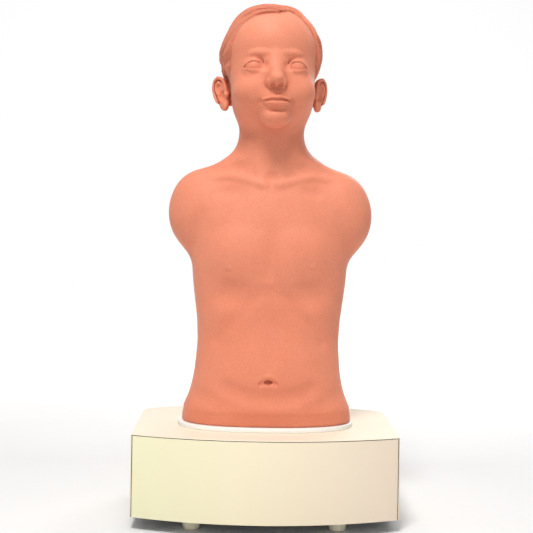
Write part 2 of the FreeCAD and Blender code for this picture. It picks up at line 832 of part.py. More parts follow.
PARTS = {
    "base_cover": base_cover,
    "front_panel": front_panel,
    "panel_brackets": panel_brackets,
    "panel_screws": panel_screws,
    "base_pan": base_pan,
    "pan_screws": pan_screws,
    "foot_front_left": lambda: foot(*foot_places()[0]),
    "foot_rear_left": lambda: foot(*foot_places()[1]),
    "foot_front_right": lambda: foot(*foot_places()[2]),
    "foot_rear_right": lambda: foot(*foot_places()[3]),
    "foot_washers": foot_washers,
    "foot_screws": foot_screws,
    "foot_nuts": foot_nuts,
    "socket_bridge": socket_bridge,
    "bridge_bolts": lambda: through_bolts(bridge_bolt_places(), bridge_plate),
    "bridge_nuts": lambda: nuts_on(bridge_bolt_places(), pan_top + bridge_plate),
    "socket_tube": socket_tube,
    "socket_collar": socket_collar,
    "support_board": support_board,
    "board_posts": board_posts,
    "post_screws": post_screws,
    "ballast_left": lambda: ballast(-1),
    "ballast_right": lambda: ballast(1),
    "ballast_bolts": lambda: through_bolts(ballast_bolt_places(), ballast_thickness),
    "ballast_nuts": lambda: nuts_on(ballast_bolt_places(), pan_top + ballast_thickness),
    "hold_down_washer": hold_down_washer,
    "hold_down_bolt": hold_down_bolt,
    "hold_down_knob": hold_down_knob,
    "torso_plate": torso_plate,
    "skin": skin_with_holes,
    "hem_ring": hem_ring,
    "ring_screws": ring_screws,
    "torso_foam": lambda: foam(plate_top + foam_floor, neck_split),
    "head_foam": lambda: foam(neck_split + foam_gap, crown_level + 10),
    "spine_tube": spine_tube,
    "spine_flange": spine_flange,
    "flange_bolts": flange_bolts,
    "flange_nuts": flange_nuts,
    "spigot_plug": spigot_plug,
    "shoulder_bar": shoulder_bar,
    "shoulder_discs": shoulder_discs,
    "shoulder_pin": shoulder_pin,
    "spine_cap": spine_cap,
    "head_board": head_board,
    "head_board_screw": head_board_screw,
}

os.makedirs("parts", exist_ok=True)
for part_name, build in PARTS.items():
    save(part_name, build())
    print("built", part_name)
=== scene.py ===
import json
import math
import bpy
import bmesh
import numpy as np
import openvdb
from concurrent.futures import ThreadPoolExecutor
from mathutils import Matrix, Vector


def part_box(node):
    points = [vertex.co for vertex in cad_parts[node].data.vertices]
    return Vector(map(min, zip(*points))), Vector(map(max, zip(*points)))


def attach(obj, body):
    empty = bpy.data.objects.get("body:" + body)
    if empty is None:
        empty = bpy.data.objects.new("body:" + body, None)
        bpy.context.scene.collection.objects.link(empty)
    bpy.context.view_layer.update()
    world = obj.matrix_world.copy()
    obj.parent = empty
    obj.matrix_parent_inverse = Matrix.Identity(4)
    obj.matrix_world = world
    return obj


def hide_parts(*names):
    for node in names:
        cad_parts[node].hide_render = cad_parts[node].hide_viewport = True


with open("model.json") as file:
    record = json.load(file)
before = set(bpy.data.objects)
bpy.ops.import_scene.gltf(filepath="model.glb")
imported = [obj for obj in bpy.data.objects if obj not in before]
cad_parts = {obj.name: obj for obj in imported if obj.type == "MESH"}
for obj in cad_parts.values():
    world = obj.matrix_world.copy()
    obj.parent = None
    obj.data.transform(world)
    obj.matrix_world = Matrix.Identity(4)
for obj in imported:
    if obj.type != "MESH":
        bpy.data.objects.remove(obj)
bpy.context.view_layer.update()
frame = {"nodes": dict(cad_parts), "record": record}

plateLow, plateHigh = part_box("torso_plate")
coverLow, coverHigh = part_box("base_cover")
spineLow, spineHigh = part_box("spine_tube")
millimetres = 1000  # the sculpt works in millimetres, in the frame's own axes
plateTop = plateHigh.z * millimetres
axisY = (spineLow.y + spineHigh.y) / 2 * millimetres


def link(name, data):
    piece = bpy.data.objects.new(name, data)
    bpy.context.scene.collection.objects.link(piece)
    return piece


# sculpting tools: every form is a distance field, negative inside
def size(v):
    return np.sqrt((v * v).sum(-1))


def softMin(a, b, k):
    h = np.clip(0.5 + 0.5 * (b - a) / k, 0, 1)
    return b * (1 - h) + a * h - k * h * (1 - h)


def smooth(low, high, x):
    t = np.clip((x - low) / (high - low), 0, 1)
    return t * t * (3 - 2 * t)


def ball(centre, radii):
    centre, radii = np.array(centre, float), np.array(radii, float) * np.ones(3)

    def distance(p):
        q = (p - centre) / radii
        k0 = size(q)
        return k0 * (k0 - 1) / (size(q / radii) + 1e-9)

    distance.centre, distance.reach = centre, radii.max()
    return distance


def rod(start, end, startRadius, endRadius=None):
    start, end = np.array(start, float), np.array(end, float)
    endRadius = startRadius if endRadius is None else endRadius

    def distance(p):
        along = end - start
        t = np.clip(((p - start) @ along) / (along @ along), 0, 1)
        return size(p - start - t[:, None] * along) - (startRadius + (endRadius - startRadius) * t)

    distance.centre = (start + end) / 2
    distance.reach = size(end - start) / 2 + max(startRadius, endRadius)
    return distance


def toLine(p, points):
    best = np.full(len(p), 1e9)
    for a, b in zip(points[:-1], points[1:]):
        a, b = np.array(a, float), np.array(b, float)
        t = np.clip(((p - a) @ (b - a)) / ((b - a) @ (b - a)), 0, 1)
        best = np.minimum(best, size(p - a - t[:, None] * (b - a)))
    return best


def bend(points, steps=4):
    points = [np.array(q, float) for q in points]  # rounds a short line of points into a curve
    padded = [2 * points[0] - points[1]] + points + [2 * points[-1] - points[-2]]
    curve = []
    for a, b, c, d in zip(padded[:-3], padded[1:-2], padded[2:-1], padded[3:]):
        for i in range(steps):
            t = i / steps
            curve.append(0.5 * (2 * b + (c - a) * t + (2 * a - 5 * b + 4 * c - d) * t * t
                                + (3 * b - a - 3 * c + d) * t ** 3))
    return curve + [points[-1]]


class Clay:
    # a set of points and the distance of each from the form as sculpted so far

    def __init__(self, points, distance):
        self.p, self.d = points, distance

    def near(self, centre, reach):
        return np.nonzero((np.abs(self.p - np.array(centre)) < reach).all(1))[0]

    def add(self, form, soft):
        i = self.near(form.centre, form.reach + soft + 9)
        self.d[i] = softMin(self.d[i], form(self.p[i]), soft)

    def cut(self, form, soft):
        i = self.near(form.centre, form.reach + soft + 9)
        self.d[i] = -softMin(-self.d[i], form(self.p[i]), soft)

    def swell(self, centre, radii, height):
        i = self.near(centre, np.array(radii, float))
        q = ((self.p[i] - np.array(centre)) / np.array(radii, float))
        self.d[i] -= height * np.clip(1 - (q * q).sum(1), 0, 1) ** 2

    def crease(self, points, width, depth):
        points = bend(points)
        middle = np.mean(points, 0)
        reach = max(size(q - middle) for q in points) + width
        i = self.near(middle, reach)
        t = toLine(self.p[i], points) / width
        self.d[i] += depth * np.clip(1 - t * t, 0, 1) ** 2


def bothSides(action, *features):
    for side in (-1, 1):
        for feature in features:
            action(*feature(side))


# the trunk, in millimetres
trunk = {
    "shift": 3.0,  # the chest stands this far to the side of the spine
    # above the plate, half width, front, back, squareness of the cross-section
    "levels": [
        (0, 121.5, -74.5, 72.0, 2.5), (10, 121.5, -76.0, 73.0, 2.5), (19, 119.0, -78.0, 73.5, 2.5),
        (28, 114.5, -78.5, 73.0, 2.5), (41, 109.5, -79.0, 71.5, 2.4), (55, 106.0, -79.5, 69.5, 2.4),
        (70, 103.4, -78.5, 67.0, 2.35), (84, 102.2, -76.0, 65.0, 2.3), (112, 100.3, -70.5, 64.0, 2.3),
        (141, 101.8, -68.5, 66.0, 2.3), (170, 105.5, -69.0, 69.5, 2.3), (199, 109.0, -70.5, 73.0, 2.35),
        (227, 111.0, -70.0, 76.0, 2.4), (256, 110.0, -66.5, 77.5, 2.4), (285, 106.5, -60.5, 77.0, 2.3),
        (308, 101.0, -54.0, 74.5, 2.2), (326, 96.0, -47.5, 70.5, 2.1), (340, 92.0, -43.0, 66.5, 2.0),
        (352, 87.0, -40.0, 63.0, 2.0), (360, 81.0, -39.5, 60.5, 2.0), (368, 72.0, -39.7, 58.0, 2.0),
        (377, 60.0, -40.5, 55.5, 2.0), (386, 52.0, -41.5, 53.0, 2.0), (396, 48.0, -42.5, 51.0, 2.0),
        (405, 46.5, -43.0, 49.5, 2.0), (470, 45.0, -40.0, 50.0, 2.0),
    ],
    "shoulder": (101.5, 7.0, 295.0),  # middle of the rounded stump: across, back, up
    "shoulderRadii": (44.5, 43.0, 57.0), "shoulderBlend": 26, "shoulderDrop": 1.5,
    "yoke": ((30, 8, 352), (96, 8, 322)), "yokeRadii": (16, 25), "yokeBlend": 22,  # neck to stump
    "rounding": 5.0,  # how far the levels are blended into each other
    "neckTop": 436.0, "neckSoft": 8,  # the neck ends inside the head
}


def trunkCurves():
    table = np.array(trunk["levels"])
    step, window, top = 0.5, 30.0, 500.0
    z = np.arange(-window, top, step)
    bell = np.exp(-0.5 * (np.arange(-window, window + step, step) / trunk["rounding"]) ** 2)
    bell /= bell.sum()
    curves = []
    for column in range(1, 5):
        values = np.interp(z, table[:, 0], table[:, column])
        values = np.convolve(np.pad(values, len(bell) // 2, mode="edge"), bell, mode="valid")
        curves.append((values, np.gradient(values, step)))
    return z, curves


trunkZ, trunkProfiles = trunkCurves()


def at(points):
    # the frame's axes from across, back of the spine, above the plate
    return np.array(points, float) + np.array((trunk["shift"], axisY, plateTop))


def trunkDistance(p):
    h = p[:, 2] - plateTop
    wide, front, back, power = [np.interp(h, trunkZ, values) for values, slope in trunkProfiles]
    dWide, dFront, dBack = [np.interp(h, trunkZ, slope) for values, slope in trunkProfiles[:3]]
    middle, deep = (front + back) / 2, (back - front) / 2
    x = p[:, 0] - trunk["shift"] * (0.5 + 0.5 * smooth(20, 200, h))
    y = p[:, 1] - axisY - middle
    u, v = np.abs(x) / wide + 1e-6, np.abs(y) / deep + 1e-6
    r = (u ** power + v ** power) ** (1 / power)
    rx = r ** (1 - power) * u ** (power - 1) / wide
    ry = r ** (1 - power) * v ** (power - 1) / deep
    rz = -rx * u * dWide - ry * (v * (dBack - dFront) / 2 + np.sign(y) * (dBack + dFront) / 2)
    d = (r - 1) / (np.sqrt(rx * rx + ry * ry + rz * rz) + 1e-9)
    return -softMin(-d, trunk["neckTop"] - h, trunk["neckSoft"])


def sculptTrunk(clay):
    across, back, up = trunk["shoulder"]
    for side in (-1, 1):
        middle = at((side * across, back, up - trunk["shoulderDrop"] * (side + 1)))  # one stump is lower
        clay.add(ball(middle, trunk["shoulderRadii"]), trunk["shoulderBlend"])
        start, end = [at((side * x, y, z)) for x, y, z in trunk["yoke"]]
        clay.add(rod(start, end, *trunk["yokeRadii"]), trunk["yokeBlend"])


def detailTrunk(clay):
    def swell(centre, radii, height):
        clay.swell(at(centre), radii, height)

    def crease(points, width, depth):
        clay.crease([at(q) for q in points], width, depth)

    bothSides(
        swell,
        lambda s: ((s * 46, -58, 234), (54, 46, 48), 7.5),  # chest muscle
        lambda s: ((s * 50, -64, 180), (46, 44, 27), -4.2),  # hollow under it
        lambda s: ((s * 60, -55, 145), (44, 44, 38), 2.8),  # lower ribs
        lambda s: ((s * 58, 64, 262), (42, 36, 56), 6.5),  # shoulder blade
        lambda s: ((s * 22, 66, 110), (20, 26, 90), 2.4),  # muscle beside the spine
        lambda s: ((s * 92, 26, 196), (34, 44, 66), 2.6),  # side of the back
        lambda s: ((s * 32, 70, 34), (13, 14, 16), -1.6),  # dimple above the hip
        lambda s: ((s * 44, 62, 4), (48, 30, 40), 2.6),  # top of the buttock
        lambda s: ((s * 60, -43, 322), (30, 16, 13), -2.2),  # hollow under the collarbone
        lambda s: ((s * 46, -30, 356), (22, 18, 14), -3.2),  # hollow above it
        lambda s: ((s * 57.5, -62, 217 + 1.6 * s), (10, 14, 9), 1.0),  # round the nipple
        lambda s: ((s * 57.5, -66, 217 + 1.6 * s), (5.4, 14, 4.2), 2.8),  # nipple
        lambda s: ((s * 57.5, -64, 213 + 1.6 * s), (7, 14, 3.2), -1.3),  # dip under it
    )
    # collarbone, cord of the neck, front and back folds of the armpit, edge of the shoulder blade,
    # edge of the ribs, line above the hip
    bothSides(
        crease,
        lambda s: ([(s * 9, -47, 331), (s * 34, -43, 339), (s * 62, -30, 345), (s * 92, -14, 338)],
                   9, -2.4),
        lambda s: ([(s * 12, -46, 336), (s * 27, -36, 372), (s * 40, -10, 412)], 12, -1.3),
        lambda s: ([(s * 112, -30, 246), (s * 106, -40, 268), (s * 97, -48, 292)], 15, 3.4),
        lambda s: ([(s * 112, 50, 240), (s * 104, 58, 268), (s * 94, 62, 296)], 16, 3.0),
        lambda s: ([(s * 27, 74, 306), (s * 31, 76, 262), (s * 44, 76, 214), (s * 66, 72, 206)],
                   13, 1.8),
        lambda s: ([(s * 8, -70, 186), (s * 34, -68, 160), (s * 72, -54, 116)], 14, 2.4),
        lambda s: ([(s * 104, -40, 44), (s * 80, -60, 34), (s * 54, -72, 24)], 15, 1.5),
    )
    swell((0, -50, 344), (12, 20, 11), -4.2)  # notch at the top of the breastbone
    swell((0, -60, 84), (88, 60, 58), 5.4)  # belly
    swell((0, -72, 22), (70, 40, 24), 1.5)  # below the fold
    crease([(0, -70, 316), (0, -72, 262), (0, -71, 206)], 14, 2.4)  # breastbone
    crease([(0, -70, 176), (0, -74, 128), (0, -79, 82)], 11, 1.5)  # middle of the belly
    crease([(-58, -70, 54), (-30, -80, 44), (0, -83, 39), (34, -79, 43), (58, -70, 52)], 17, 3.2)  # fold
    crease([(0, 80, 338), (0, 84, 286), (0, 80, 210), (0, 70, 120), (0, 72, 48)], 17, 3.4)  # backbone
    crease([(-66, -54, 350), (-30, -60, 334), (-2, -60, 322)], 6, 0.9)  # wrinkle of the skin
    navel = at((-1, -84, 63))
    clay.swell(navel, (18, 20, 14), 1.6)
    hood = [(-9.5, 4, -2.6), (-4, 2, 0.2), (2, 1, 1.0), (9.5, 4, -2.8)]
    clay.crease([navel + q for q in hood], 5.4, 3.2)
    clay.cut(ball(navel + (0.5, 5, -0.8), (5.6, 8.5, 2.3)), 2.0)
    clay.swell(navel + (0, 0, 6.5), (11, 12, 5), 1.5)
    height = clay.p[:, 2] - plateTop
    clay.d += 1.5 * smooth(20.5, 17.5, height)  # the hem stands back a little


# the head, in its own axes: across, back, up from the chin; millimetres and degrees
head = {
    "place": (3.0, -8.0, 402.0),  # under the chin: across, back of the spine, above the plate
    "tiltBack": 5.5,
    "turn": 4.0,
    "lean": -0.8,
    "neckBlend": 15.0,
    "eye": (29.0, -58.0, 83.0),
    "eyeRadius": 13.0,
    "lidThickness": 2.0,
    "eyeHalfWidth": 12.9,
    "lidRise": 6.4,
    "lidDrop": 4.4,
    "earPlace": (61.5, 3.0, 66.0),
    "earFlare": 36.0,
    "earTip": 9.0,
}
headTurn = (Matrix.Rotation(math.radians(head["turn"]), 3, "Z")
            @ Matrix.Rotation(math.radians(head["lean"]), 3, "Y")
            @ Matrix.Rotation(math.radians(-head["tiltBack"]), 3, "X"))
headAxes = np.array(headTurn)
headPlace = np.array(head["place"]) + np.array((0, axisY, plateTop))


def toHead(p):
    return (p - headPlace) @ headAxes


skullForms = [(ball((0, 8, 117), (67.5, 81, 71)), 1), (ball((0, -25, 121), (57, 51, 47)), 14)]
faceForms = [
    (ball((0, -22, 74), (59, 54, 50)), 14),
    (ball((0, -22, 46), (51, 50, 43)), 12),
    (ball((0, -58, 15), (19, 16, 14)), 12),
    (ball((31, -46, 52), (25, 25, 23)), 12), (ball((-31, -46, 52), (25, 25, 23)), 12),
    (ball((35, -11, 46), (20, 30, 28)), 14), (ball((-35, -11, 46), (20, 30, 28)), 14),
    (ball((0, -54, 40), (25, 21, 20)), 10),
    (ball((0, 46, 62), (46, 34, 36)), 16),
]


def skullDistance(q):
    d = skullForms[0][0](q)
    for form, soft in skullForms[1:]:
        d = softMin(d, form(q), soft)
    return d


def headDistance(q):
    d = skullDistance(q)
    for form, soft in faceForms:
        d = softMin(d, form(q), soft)
    return d


def earTurn(side):
    flare, tip = math.radians(head["earFlare"]), math.radians(head["earTip"])
    backward = np.array((side * math.sin(flare), math.cos(flare), 0.0))
    outward = np.array((side * math.cos(flare), -math.sin(flare), 0.0))
    upright = np.array((0.0, 0.0, 1.0))
    return np.stack([backward * math.cos(tip) - upright * math.sin(tip),
                     backward * math.sin(tip) + upright * math.cos(tip), outward])


earOutline = [(14, 29), (23, 25.5), (28, 15), (27, 2), (22, -10), (15, -20), (9, -25.5), (3, -22),
              (0, -12), (-2, 0), (-1, 12), (4, 23)]  # backward, up
earMiddle = np.array((13.0, 3.0))


def earRound():
    line = np.array(bend([np.array(q, float) for q in earOutline + earOutline[:1]], 6)[:-1]) - earMiddle
    angle, reach = np.arctan2(line[:, 1], line[:, 0]), size(line)
    order = np.argsort(angle)
    return angle[order], reach[order]


earAngle, earReach = earRound()


def earDistance(local):
    back, up, out = local.T
    x, z = back - earMiddle[0], up - earMiddle[1]
    inset = np.hypot(x, z) - np.interp(np.arctan2(z, x), earAngle, earReach, period=2 * math.pi)
    d = np.maximum(inset + 1.0, np.abs(out - 2.2) - 1.9)
    rim = np.hypot(inset + 2.6, out - 4.2 - 1.2 * smooth(0, 16, back)) - 2.5
    d = softMin(d, rim + 4 * (1 - smooth(-17, -8, up)), 1.5)
    fold = np.hypot(inset + 9.6, out - 4.6) - 2.5
    d = softMin(d, fold + 5 * (1 - smooth(6, 12, back)) + 5 * (1 - smooth(-15, -8, up)), 2.5)
    for form, soft in earForms:
        d = softMin(d, form(local), soft)
    return d


earForms = [
    (ball((8.5, -17.0, 2.6), (7.0, 8.0, 3.8)), 4.0),  # lobe
    (ball((7.0, 2.0, -8.0), (14.0, 19.0, 10.0)), 5.0),  # root
    (rod((1.0, 7.0, 3.8), (10.0, 1.5, 1.0), 2.3, 1.6), 2.0),  # end of the rim in the bowl
    (ball((-1.0, -5.0, 3.8), (3.6, 4.2, 4.6)), 2.0),  # flap in front of the bowl
    (ball((9.5, -12.5, 4.6), (3.4, 2.8, 2.6)), 2.0),  # knob opposite it
]


def ear(clay, side):
    root = np.array(head["earPlace"]) * (side, 1, 1)
    turn = earTurn(side)
    i = clay.near(root + (side * 8, 8, 2), 40)
    local = (clay.p[i] - root) @ turn.T
    shaped = softMin(clay.d[i], earDistance(local), 3.5)
    bowl, canal = ball((9.0, -3.0, 7.0), (7.0, 7.5, 6.8)), ball((5.0, -4.0, 1.5), (3.6, 4.2, 4.6))
    shaped = -softMin(-shaped, bowl(local), 2.5)
    clay.d[i] = -softMin(-shaped, canal(local), 2.0)


def almond(q, side):
    # the opening between the lids: two arcs that meet at the corners of the eye
    across = (q[:, 0] - side * head["eye"][0]) * side - 1.2
    up = q[:, 2] - head["eye"][2] - 0.05 * across
    half, rise, drop = head["eyeHalfWidth"], head["lidRise"], head["lidDrop"]
    above, below = (half ** 2 + rise ** 2) / (2 * rise), (half ** 2 + drop ** 2) / (2 * drop)
    high = np.hypot(across + 1.0, up - rise + above) - above
    low = np.hypot(across - 1.0, up + drop - below) - below
    return np.maximum(high, low)


def eye(clay, side):
    centre = np.array(head["eye"]) * (side, 1, 1)
    radius, lid = head["eyeRadius"], head["lidThickness"]
    clay.swell(centre + (side, -17, 3), (23, 24, 15), -5.0)  # socket
    clay.swell(centre + (-12 * side, -17, -1), (9, 18, 9), -3.0)  # its inner corner
    clay.add(ball(centre, radius + lid), 5.0)
    i = clay.near(centre, radius + 12)
    q = clay.p[i]
    globe = size(q - centre) - radius
    opening = np.maximum(almond(q, side) - 0.6 * np.clip(globe, 0, 3), globe - 3.2)
    outward = np.clip((q[:, 0] - centre[0]) * side, -12, 14)
    opening = np.maximum(opening, q[:, 1] - centre[1] + 8.5 - 0.4 * outward)
    opened = -softMin(-clay.d[i], opening, 0.55)
    clay.d[i] = softMin(opened, globe, 0.35)
    above = [(-15, 6, -0.5), (-9, 1.6, 8.6), (0, -1.5, 11.0), (9, 1.0, 8.8), (16.5, 6.5, 0.5)]
    below = [(-14, 5, -5.5), (-5, 1, -10.5), (5, 1, -10.8), (14, 5, -6.5)]
    for fold, width, depth in ((above, 3.6, 2.0), (below, 4.0, 0.7)):
        clay.crease([centre + (side * x, y - radius, z) for x, y, z in fold], width, depth)


def nose(clay):
    clay.add(rod((0, -69, 93), (0, -79, 67), 6.0, 7.0), 12)
    clay.add(ball((0, -83.0, 61.5), (8.6, 8.6, 7.6)), 6)
    for side in (-1, 1):
        clay.add(ball((side * 8.8, -76.5, 58.5), (5.2, 7.0, 5.4)), 4.5)
    clay.add(ball((0, -79.5, 56), (3.4, 7.5, 3.4)), 2.5)
    for side in (-1, 1):
        clay.cut(ball((side * 5.4, -81.0, 53.6), (2.5, 4.2, 3.2)), 1.8)
        clay.crease([(side * 10.5, -79, 64), (side * 14.5, -74, 59), (side * 13, -73, 53)], 3.4, 0.5)


def lipLine(half):
    # the whole line from its points at one side and in the middle
    return bend(half + [(-x, y, z) for x, y, z in half[-2::-1]], 3)


def mouth(clay):
    clay.crease([(0, -78, 52), (0, -79, 42)], 4.2, 1.3)  # groove above the lip
    upper = lipLine([(-19, -69.0, 34.6), (-12, -73.4, 36.6), (-5, -75.8, 38.4), (0, -75.8, 37.2)])
    lower = lipLine([(-15, -70.6, 32.2), (-8, -74.4, 30.8), (0, -75.4, 30.4)])
    parted = lipLine([(-20, -70.6, 34.0), (-10, -76.4, 34.3), (-4, -78.6, 34.6), (0, -78.8, 34.0)])
    # each with its radius in the middle, how fast it thins to the side, and its blend
    for action, line, radius, thinning, soft in ((clay.add, upper, 2.8, 0.075, 3.0),
                                                 (clay.add, lower, 3.3, 0.11, 3.0),
                                                 (clay.cut, parted, 1.15, 0.02, 1.4)):
        for a, b in zip(line[:-1], line[1:]):
            action(rod(a, b, radius - thinning * abs(a[0])), soft)
    clay.swell((0, -76, 22.5), (20, 14, 6.5), -3.0)  # dip above the chin
    for side in (-1, 1):
        clay.swell((side * 22, -66, 34.5), (6, 9, 6), -1.4)  # corner of the mouth


hair = {
    "thickness": 6.0,
    "parting": (50.0, -48.0, 30.0),  # from the middle of the skull
    "crown": (6.0, 30.0, 60.0),
    "lockCount": 14, "lockHeight": 4.6,
    "strandCount": 47, "strandHeight": 0.8,
    # hairline: degrees round from the nose towards the side of the parting, height above the chin
    "line": [(-180, 38), (-150, 40), (-128, 48), (-112, 60), (-102, 84), (-94, 96), (-84, 92),
             (-78, 74), (-68, 72), (-62, 96), (-54, 118), (-42, 140), (-28, 152), (-12, 158),
             (4, 160), (18, 163), (30, 167), (38, 166), (45, 158), (52, 142), (59, 118), (65, 94),
             (70, 74), (79, 74), (85, 92), (95, 96), (102, 84), (112, 60), (128, 48), (150, 40),
             (180, 38)],
}
skullCentre = np.array((0.0, 8.0, 117.0))


def polar(q, pole):
    # angle round a pole of the skull, and angle away from it
    pole = np.array(pole, float) / size(np.array(pole, float))
    right = np.cross(pole, (0.0, 0.0, 1.0) if abs(pole[2]) < 0.9 else (0.0, 1.0, 0.0))
    right /= size(right)
    up = np.cross(pole, right)
    v = q - skullCentre
    v = v / (size(v)[:, None] + 1e-9)
    return np.arctan2(v @ up, v @ right), np.arccos(np.clip(v @ pole, -1, 1))


def locks(angle, reach, phase):
    # ridges that fan out from a pole and wander a little, with finer strands on them
    wander = (0.10 * np.sin(3 * angle + 2.2 * reach + phase)
              + 0.05 * np.sin(8 * angle - 3 * reach + 2 * phase))
    lock = np.sqrt(np.sin(hair["lockCount"] * (angle + wander)) ** 2 + 0.015)
    lock *= 0.75 + 0.25 * np.sin(5 * angle + 4 * reach + phase)
    wave = hair["strandCount"] * (angle + 0.6 * wander) + 1.5 * np.sin(6 * reach)
    strand = np.sqrt(np.sin(wave) ** 2 + 0.06)
    grown = smooth(0.04, 0.42, reach)
    return (hair["lockHeight"] * (lock - 0.7) + hair["strandHeight"] * (strand - 0.6)) * grown


def combed(q):
    # across and along the combing, for the relief and for the fine lines in the finish
    sideAngle, sideReach = polar(q, hair["parting"])
    crownAngle, crownReach = polar(q, hair["crown"])
    toCrown = smooth(2, 34, q[:, 1])
    relief = (1 - toCrown) * locks(sideAngle, sideReach, 0.7) + toCrown * locks(crownAngle, crownReach, 2.1)
    return relief, sideAngle, sideReach, crownAngle, crownReach, toCrown


def hairEdge(q, relief):
    aroundHead = np.degrees(np.arctan2(q[:, 0], -q[:, 1]))
    low = np.interp(aroundHead, *np.array(hair["line"], float).T)
    return (q[:, 2] - low) * 0.7 + 0.8 * relief


def hairCap(clay):
    i = clay.near(skullCentre, 118)
    q = clay.p[i]
    relief = combed(q)[0]
    edge = hairEdge(q, relief)
    grown = smooth(-2.5, 5.0, edge)
    lift = -6 + (6 + hair["thickness"] * (0.55 + 0.45 * smooth(2, 22, edge)) + relief) * grown
    cap = softMin(skullDistance(q), ball((0, 42, 74), (52, 38, 40))(q), 16) - lift
    clay.d[i] = softMin(clay.d[i], cap, 2.0)


# the whole skin
skin = {
    "coarse": 3.0,  # spacing of the first mesh
    "meshBottom": 0.3,  # above the plate
    "hemRound": 1.6,
    "headFrom": 402.0,  # above the plate, where the mesh gets finer
    "wobble": 0.35,  # how far the moulding is from even
    "furthest": 1.5,  # how far a point may move in one round
}


def headWindow(p):
    return np.nonzero(p[:, 2] > plateTop + head["place"][2] - 40)[0]


def skinDistance(p, detailed):
    clay = Clay(p, trunkDistance(p))
    sculptTrunk(clay)
    if detailed:
        detailTrunk(clay)
        low = np.sin(p[:, 0] * 0.045 + 1.3) * np.sin(p[:, 2] * 0.038) * np.sin(p[:, 1] * 0.05 + 0.4)
        clay.d += skin["wobble"] * low
    i = headWindow(p)
    q = toHead(p[i])
    part = Clay(q, headDistance(q))
    nose(part)
    mouth(part)
    for side in (-1, 1):
        part.swell((side * 28, -74, 101), (26, 16, 8), 2.4)  # brow
        eye(part, side)
    hairCap(part)
    for side in (-1, 1):
        ear(part, side)
    clay.d[i] = softMin(clay.d[i], part.d, head["neckBlend"])
    floor = plateTop + skin["meshBottom"] - p[:, 2]
    clay.d = -softMin(-clay.d, -floor, skin["hemRound"])
    return clay.d


def probe(p, detailed, step=0.3):
    # distance and slope together, from four points around each one
    corners = np.array([(1, -1, -1), (-1, -1, 1), (-1, 1, -1), (1, 1, 1)], float)
    slope, level = np.zeros_like(p), np.zeros(len(p))
    for c in corners:
        d = skinDistance(p + c * step, detailed)
        slope += c * d[:, None]
        level += d / 4
    return level, slope / (4 * step)


def inBatches(action, p, count=24000):
    with ThreadPoolExecutor(4) as pool:
        return np.concatenate(list(pool.map(action, [p[i:i + count] for i in range(0, len(p), count)])))


def settle(p, detailed):
    def move(q):
        level, slope = probe(q, detailed)
        steep = size(slope) + 1e-6
        step = np.clip(level / steep, -skin["furthest"], skin["furthest"])
        return q - slope / steep[:, None] * step[:, None]
    return inBatches(move, p)


def coarseMesh():
    # an even mesh of the form, in a box that holds all of it
    h = skin["coarse"]
    low = np.array((-156.0, axisY - 118, plateTop - 3 * h))
    high = np.array((162.0, axisY + 96, plateTop + 606))
    counts = np.ceil((high - low) / h).astype(int)
    axes = [low[i] + h * np.arange(counts[i]) for i in range(3)]
    values = np.empty(counts, np.float32)
    gy, gz = np.meshgrid(axes[1], axes[2], indexing="ij")
    for i, x in enumerate(axes[0]):
        p = np.stack([np.full(gy.size, x), gy.ravel(), gz.ravel()], 1)
        values[i] = inBatches(lambda q: skinDistance(q, False), p, 8000).reshape(gy.shape)
    grid = openvdb.FloatGrid(float(values.max()))
    grid.copyFromArray(values)
    points, quads = grid.convertToQuads(isovalue=0.0)
    return points * h + low, quads[:, ::-1]


def relax(p, edges, amount):
    # each point moves towards the middle of its neighbours
    total = np.zeros_like(p)
    count = np.zeros(len(p))
    for a, b in ((0, 1), (1, 0)):
        for k in range(3):
            total[:, k] += np.bincount(edges[:, a], p[edges[:, b], k], len(p))
        count += np.bincount(edges[:, a], minlength=len(p))
    return p + amount * (total / count[:, None] - p)


def meshFrom(name, points, faces):
    mesh = bpy.data.meshes.new(name)
    mesh.from_pydata([tuple(v) for v in points], [], [tuple(f) for f in faces])
    return mesh


def refine(mesh, chosen):
    # the faces that are chosen by their middle are divided in four
    bm = bmesh.new()
    bm.from_mesh(mesh)
    bm.faces.ensure_lookup_table()
    edges = {e for f in bm.faces if chosen(f.calc_center_median()) for e in f.edges}
    bmesh.ops.subdivide_edges(bm, edges=list(edges), cuts=1, use_grid_fill=True)
    bm.to_mesh(mesh)
    bm.free()


def meshArrays(mesh):
    p = np.empty(len(mesh.vertices) * 3)
    mesh.vertices.foreach_get("co", p)
    edges = np.empty(len(mesh.edges) * 2, int)
    mesh.edges.foreach_get("vertices", edges)
    return p.reshape(-1, 3), edges.reshape(-1, 2)


def inFace(centre):
    # the face, the ears and the front of the hair
    q = toHead(np.array([centre]))[0]
    return (18 < q[2] < 118 and (q[1] < -46 or abs(q[0]) > 62) and q[1] < 44) or (q[2] > 135 and q[1] < -18)


def fineSpot(centre):
    # the navel and the nipples
    across, back, up = np.array(centre) - at((0, 0, 0))
    return back < 0 and min(math.hypot(across, up - 63) - 8, math.hypot(abs(across) - 57.5, up - 217)) < 11


def buildSkin():
    points, faces = coarseMesh()
    mesh = meshFrom("skinMesh", points, faces)
    top = plateTop + skin["headFrom"]
    refine(mesh, lambda c: c.z > top or fineSpot(c))
    refine(mesh, lambda c: (c.z > top and inFace(c)) or fineSpot(c))
    p, edges = meshArrays(mesh)
    for amount in ((0.5, 0.5, 0.4, 0.3, 0.2, 0.0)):
        p = settle(relax(p, edges, amount), True)
    print("skin: %d points, %d faces" % (len(p), len(mesh.polygons)))
    return mesh, p


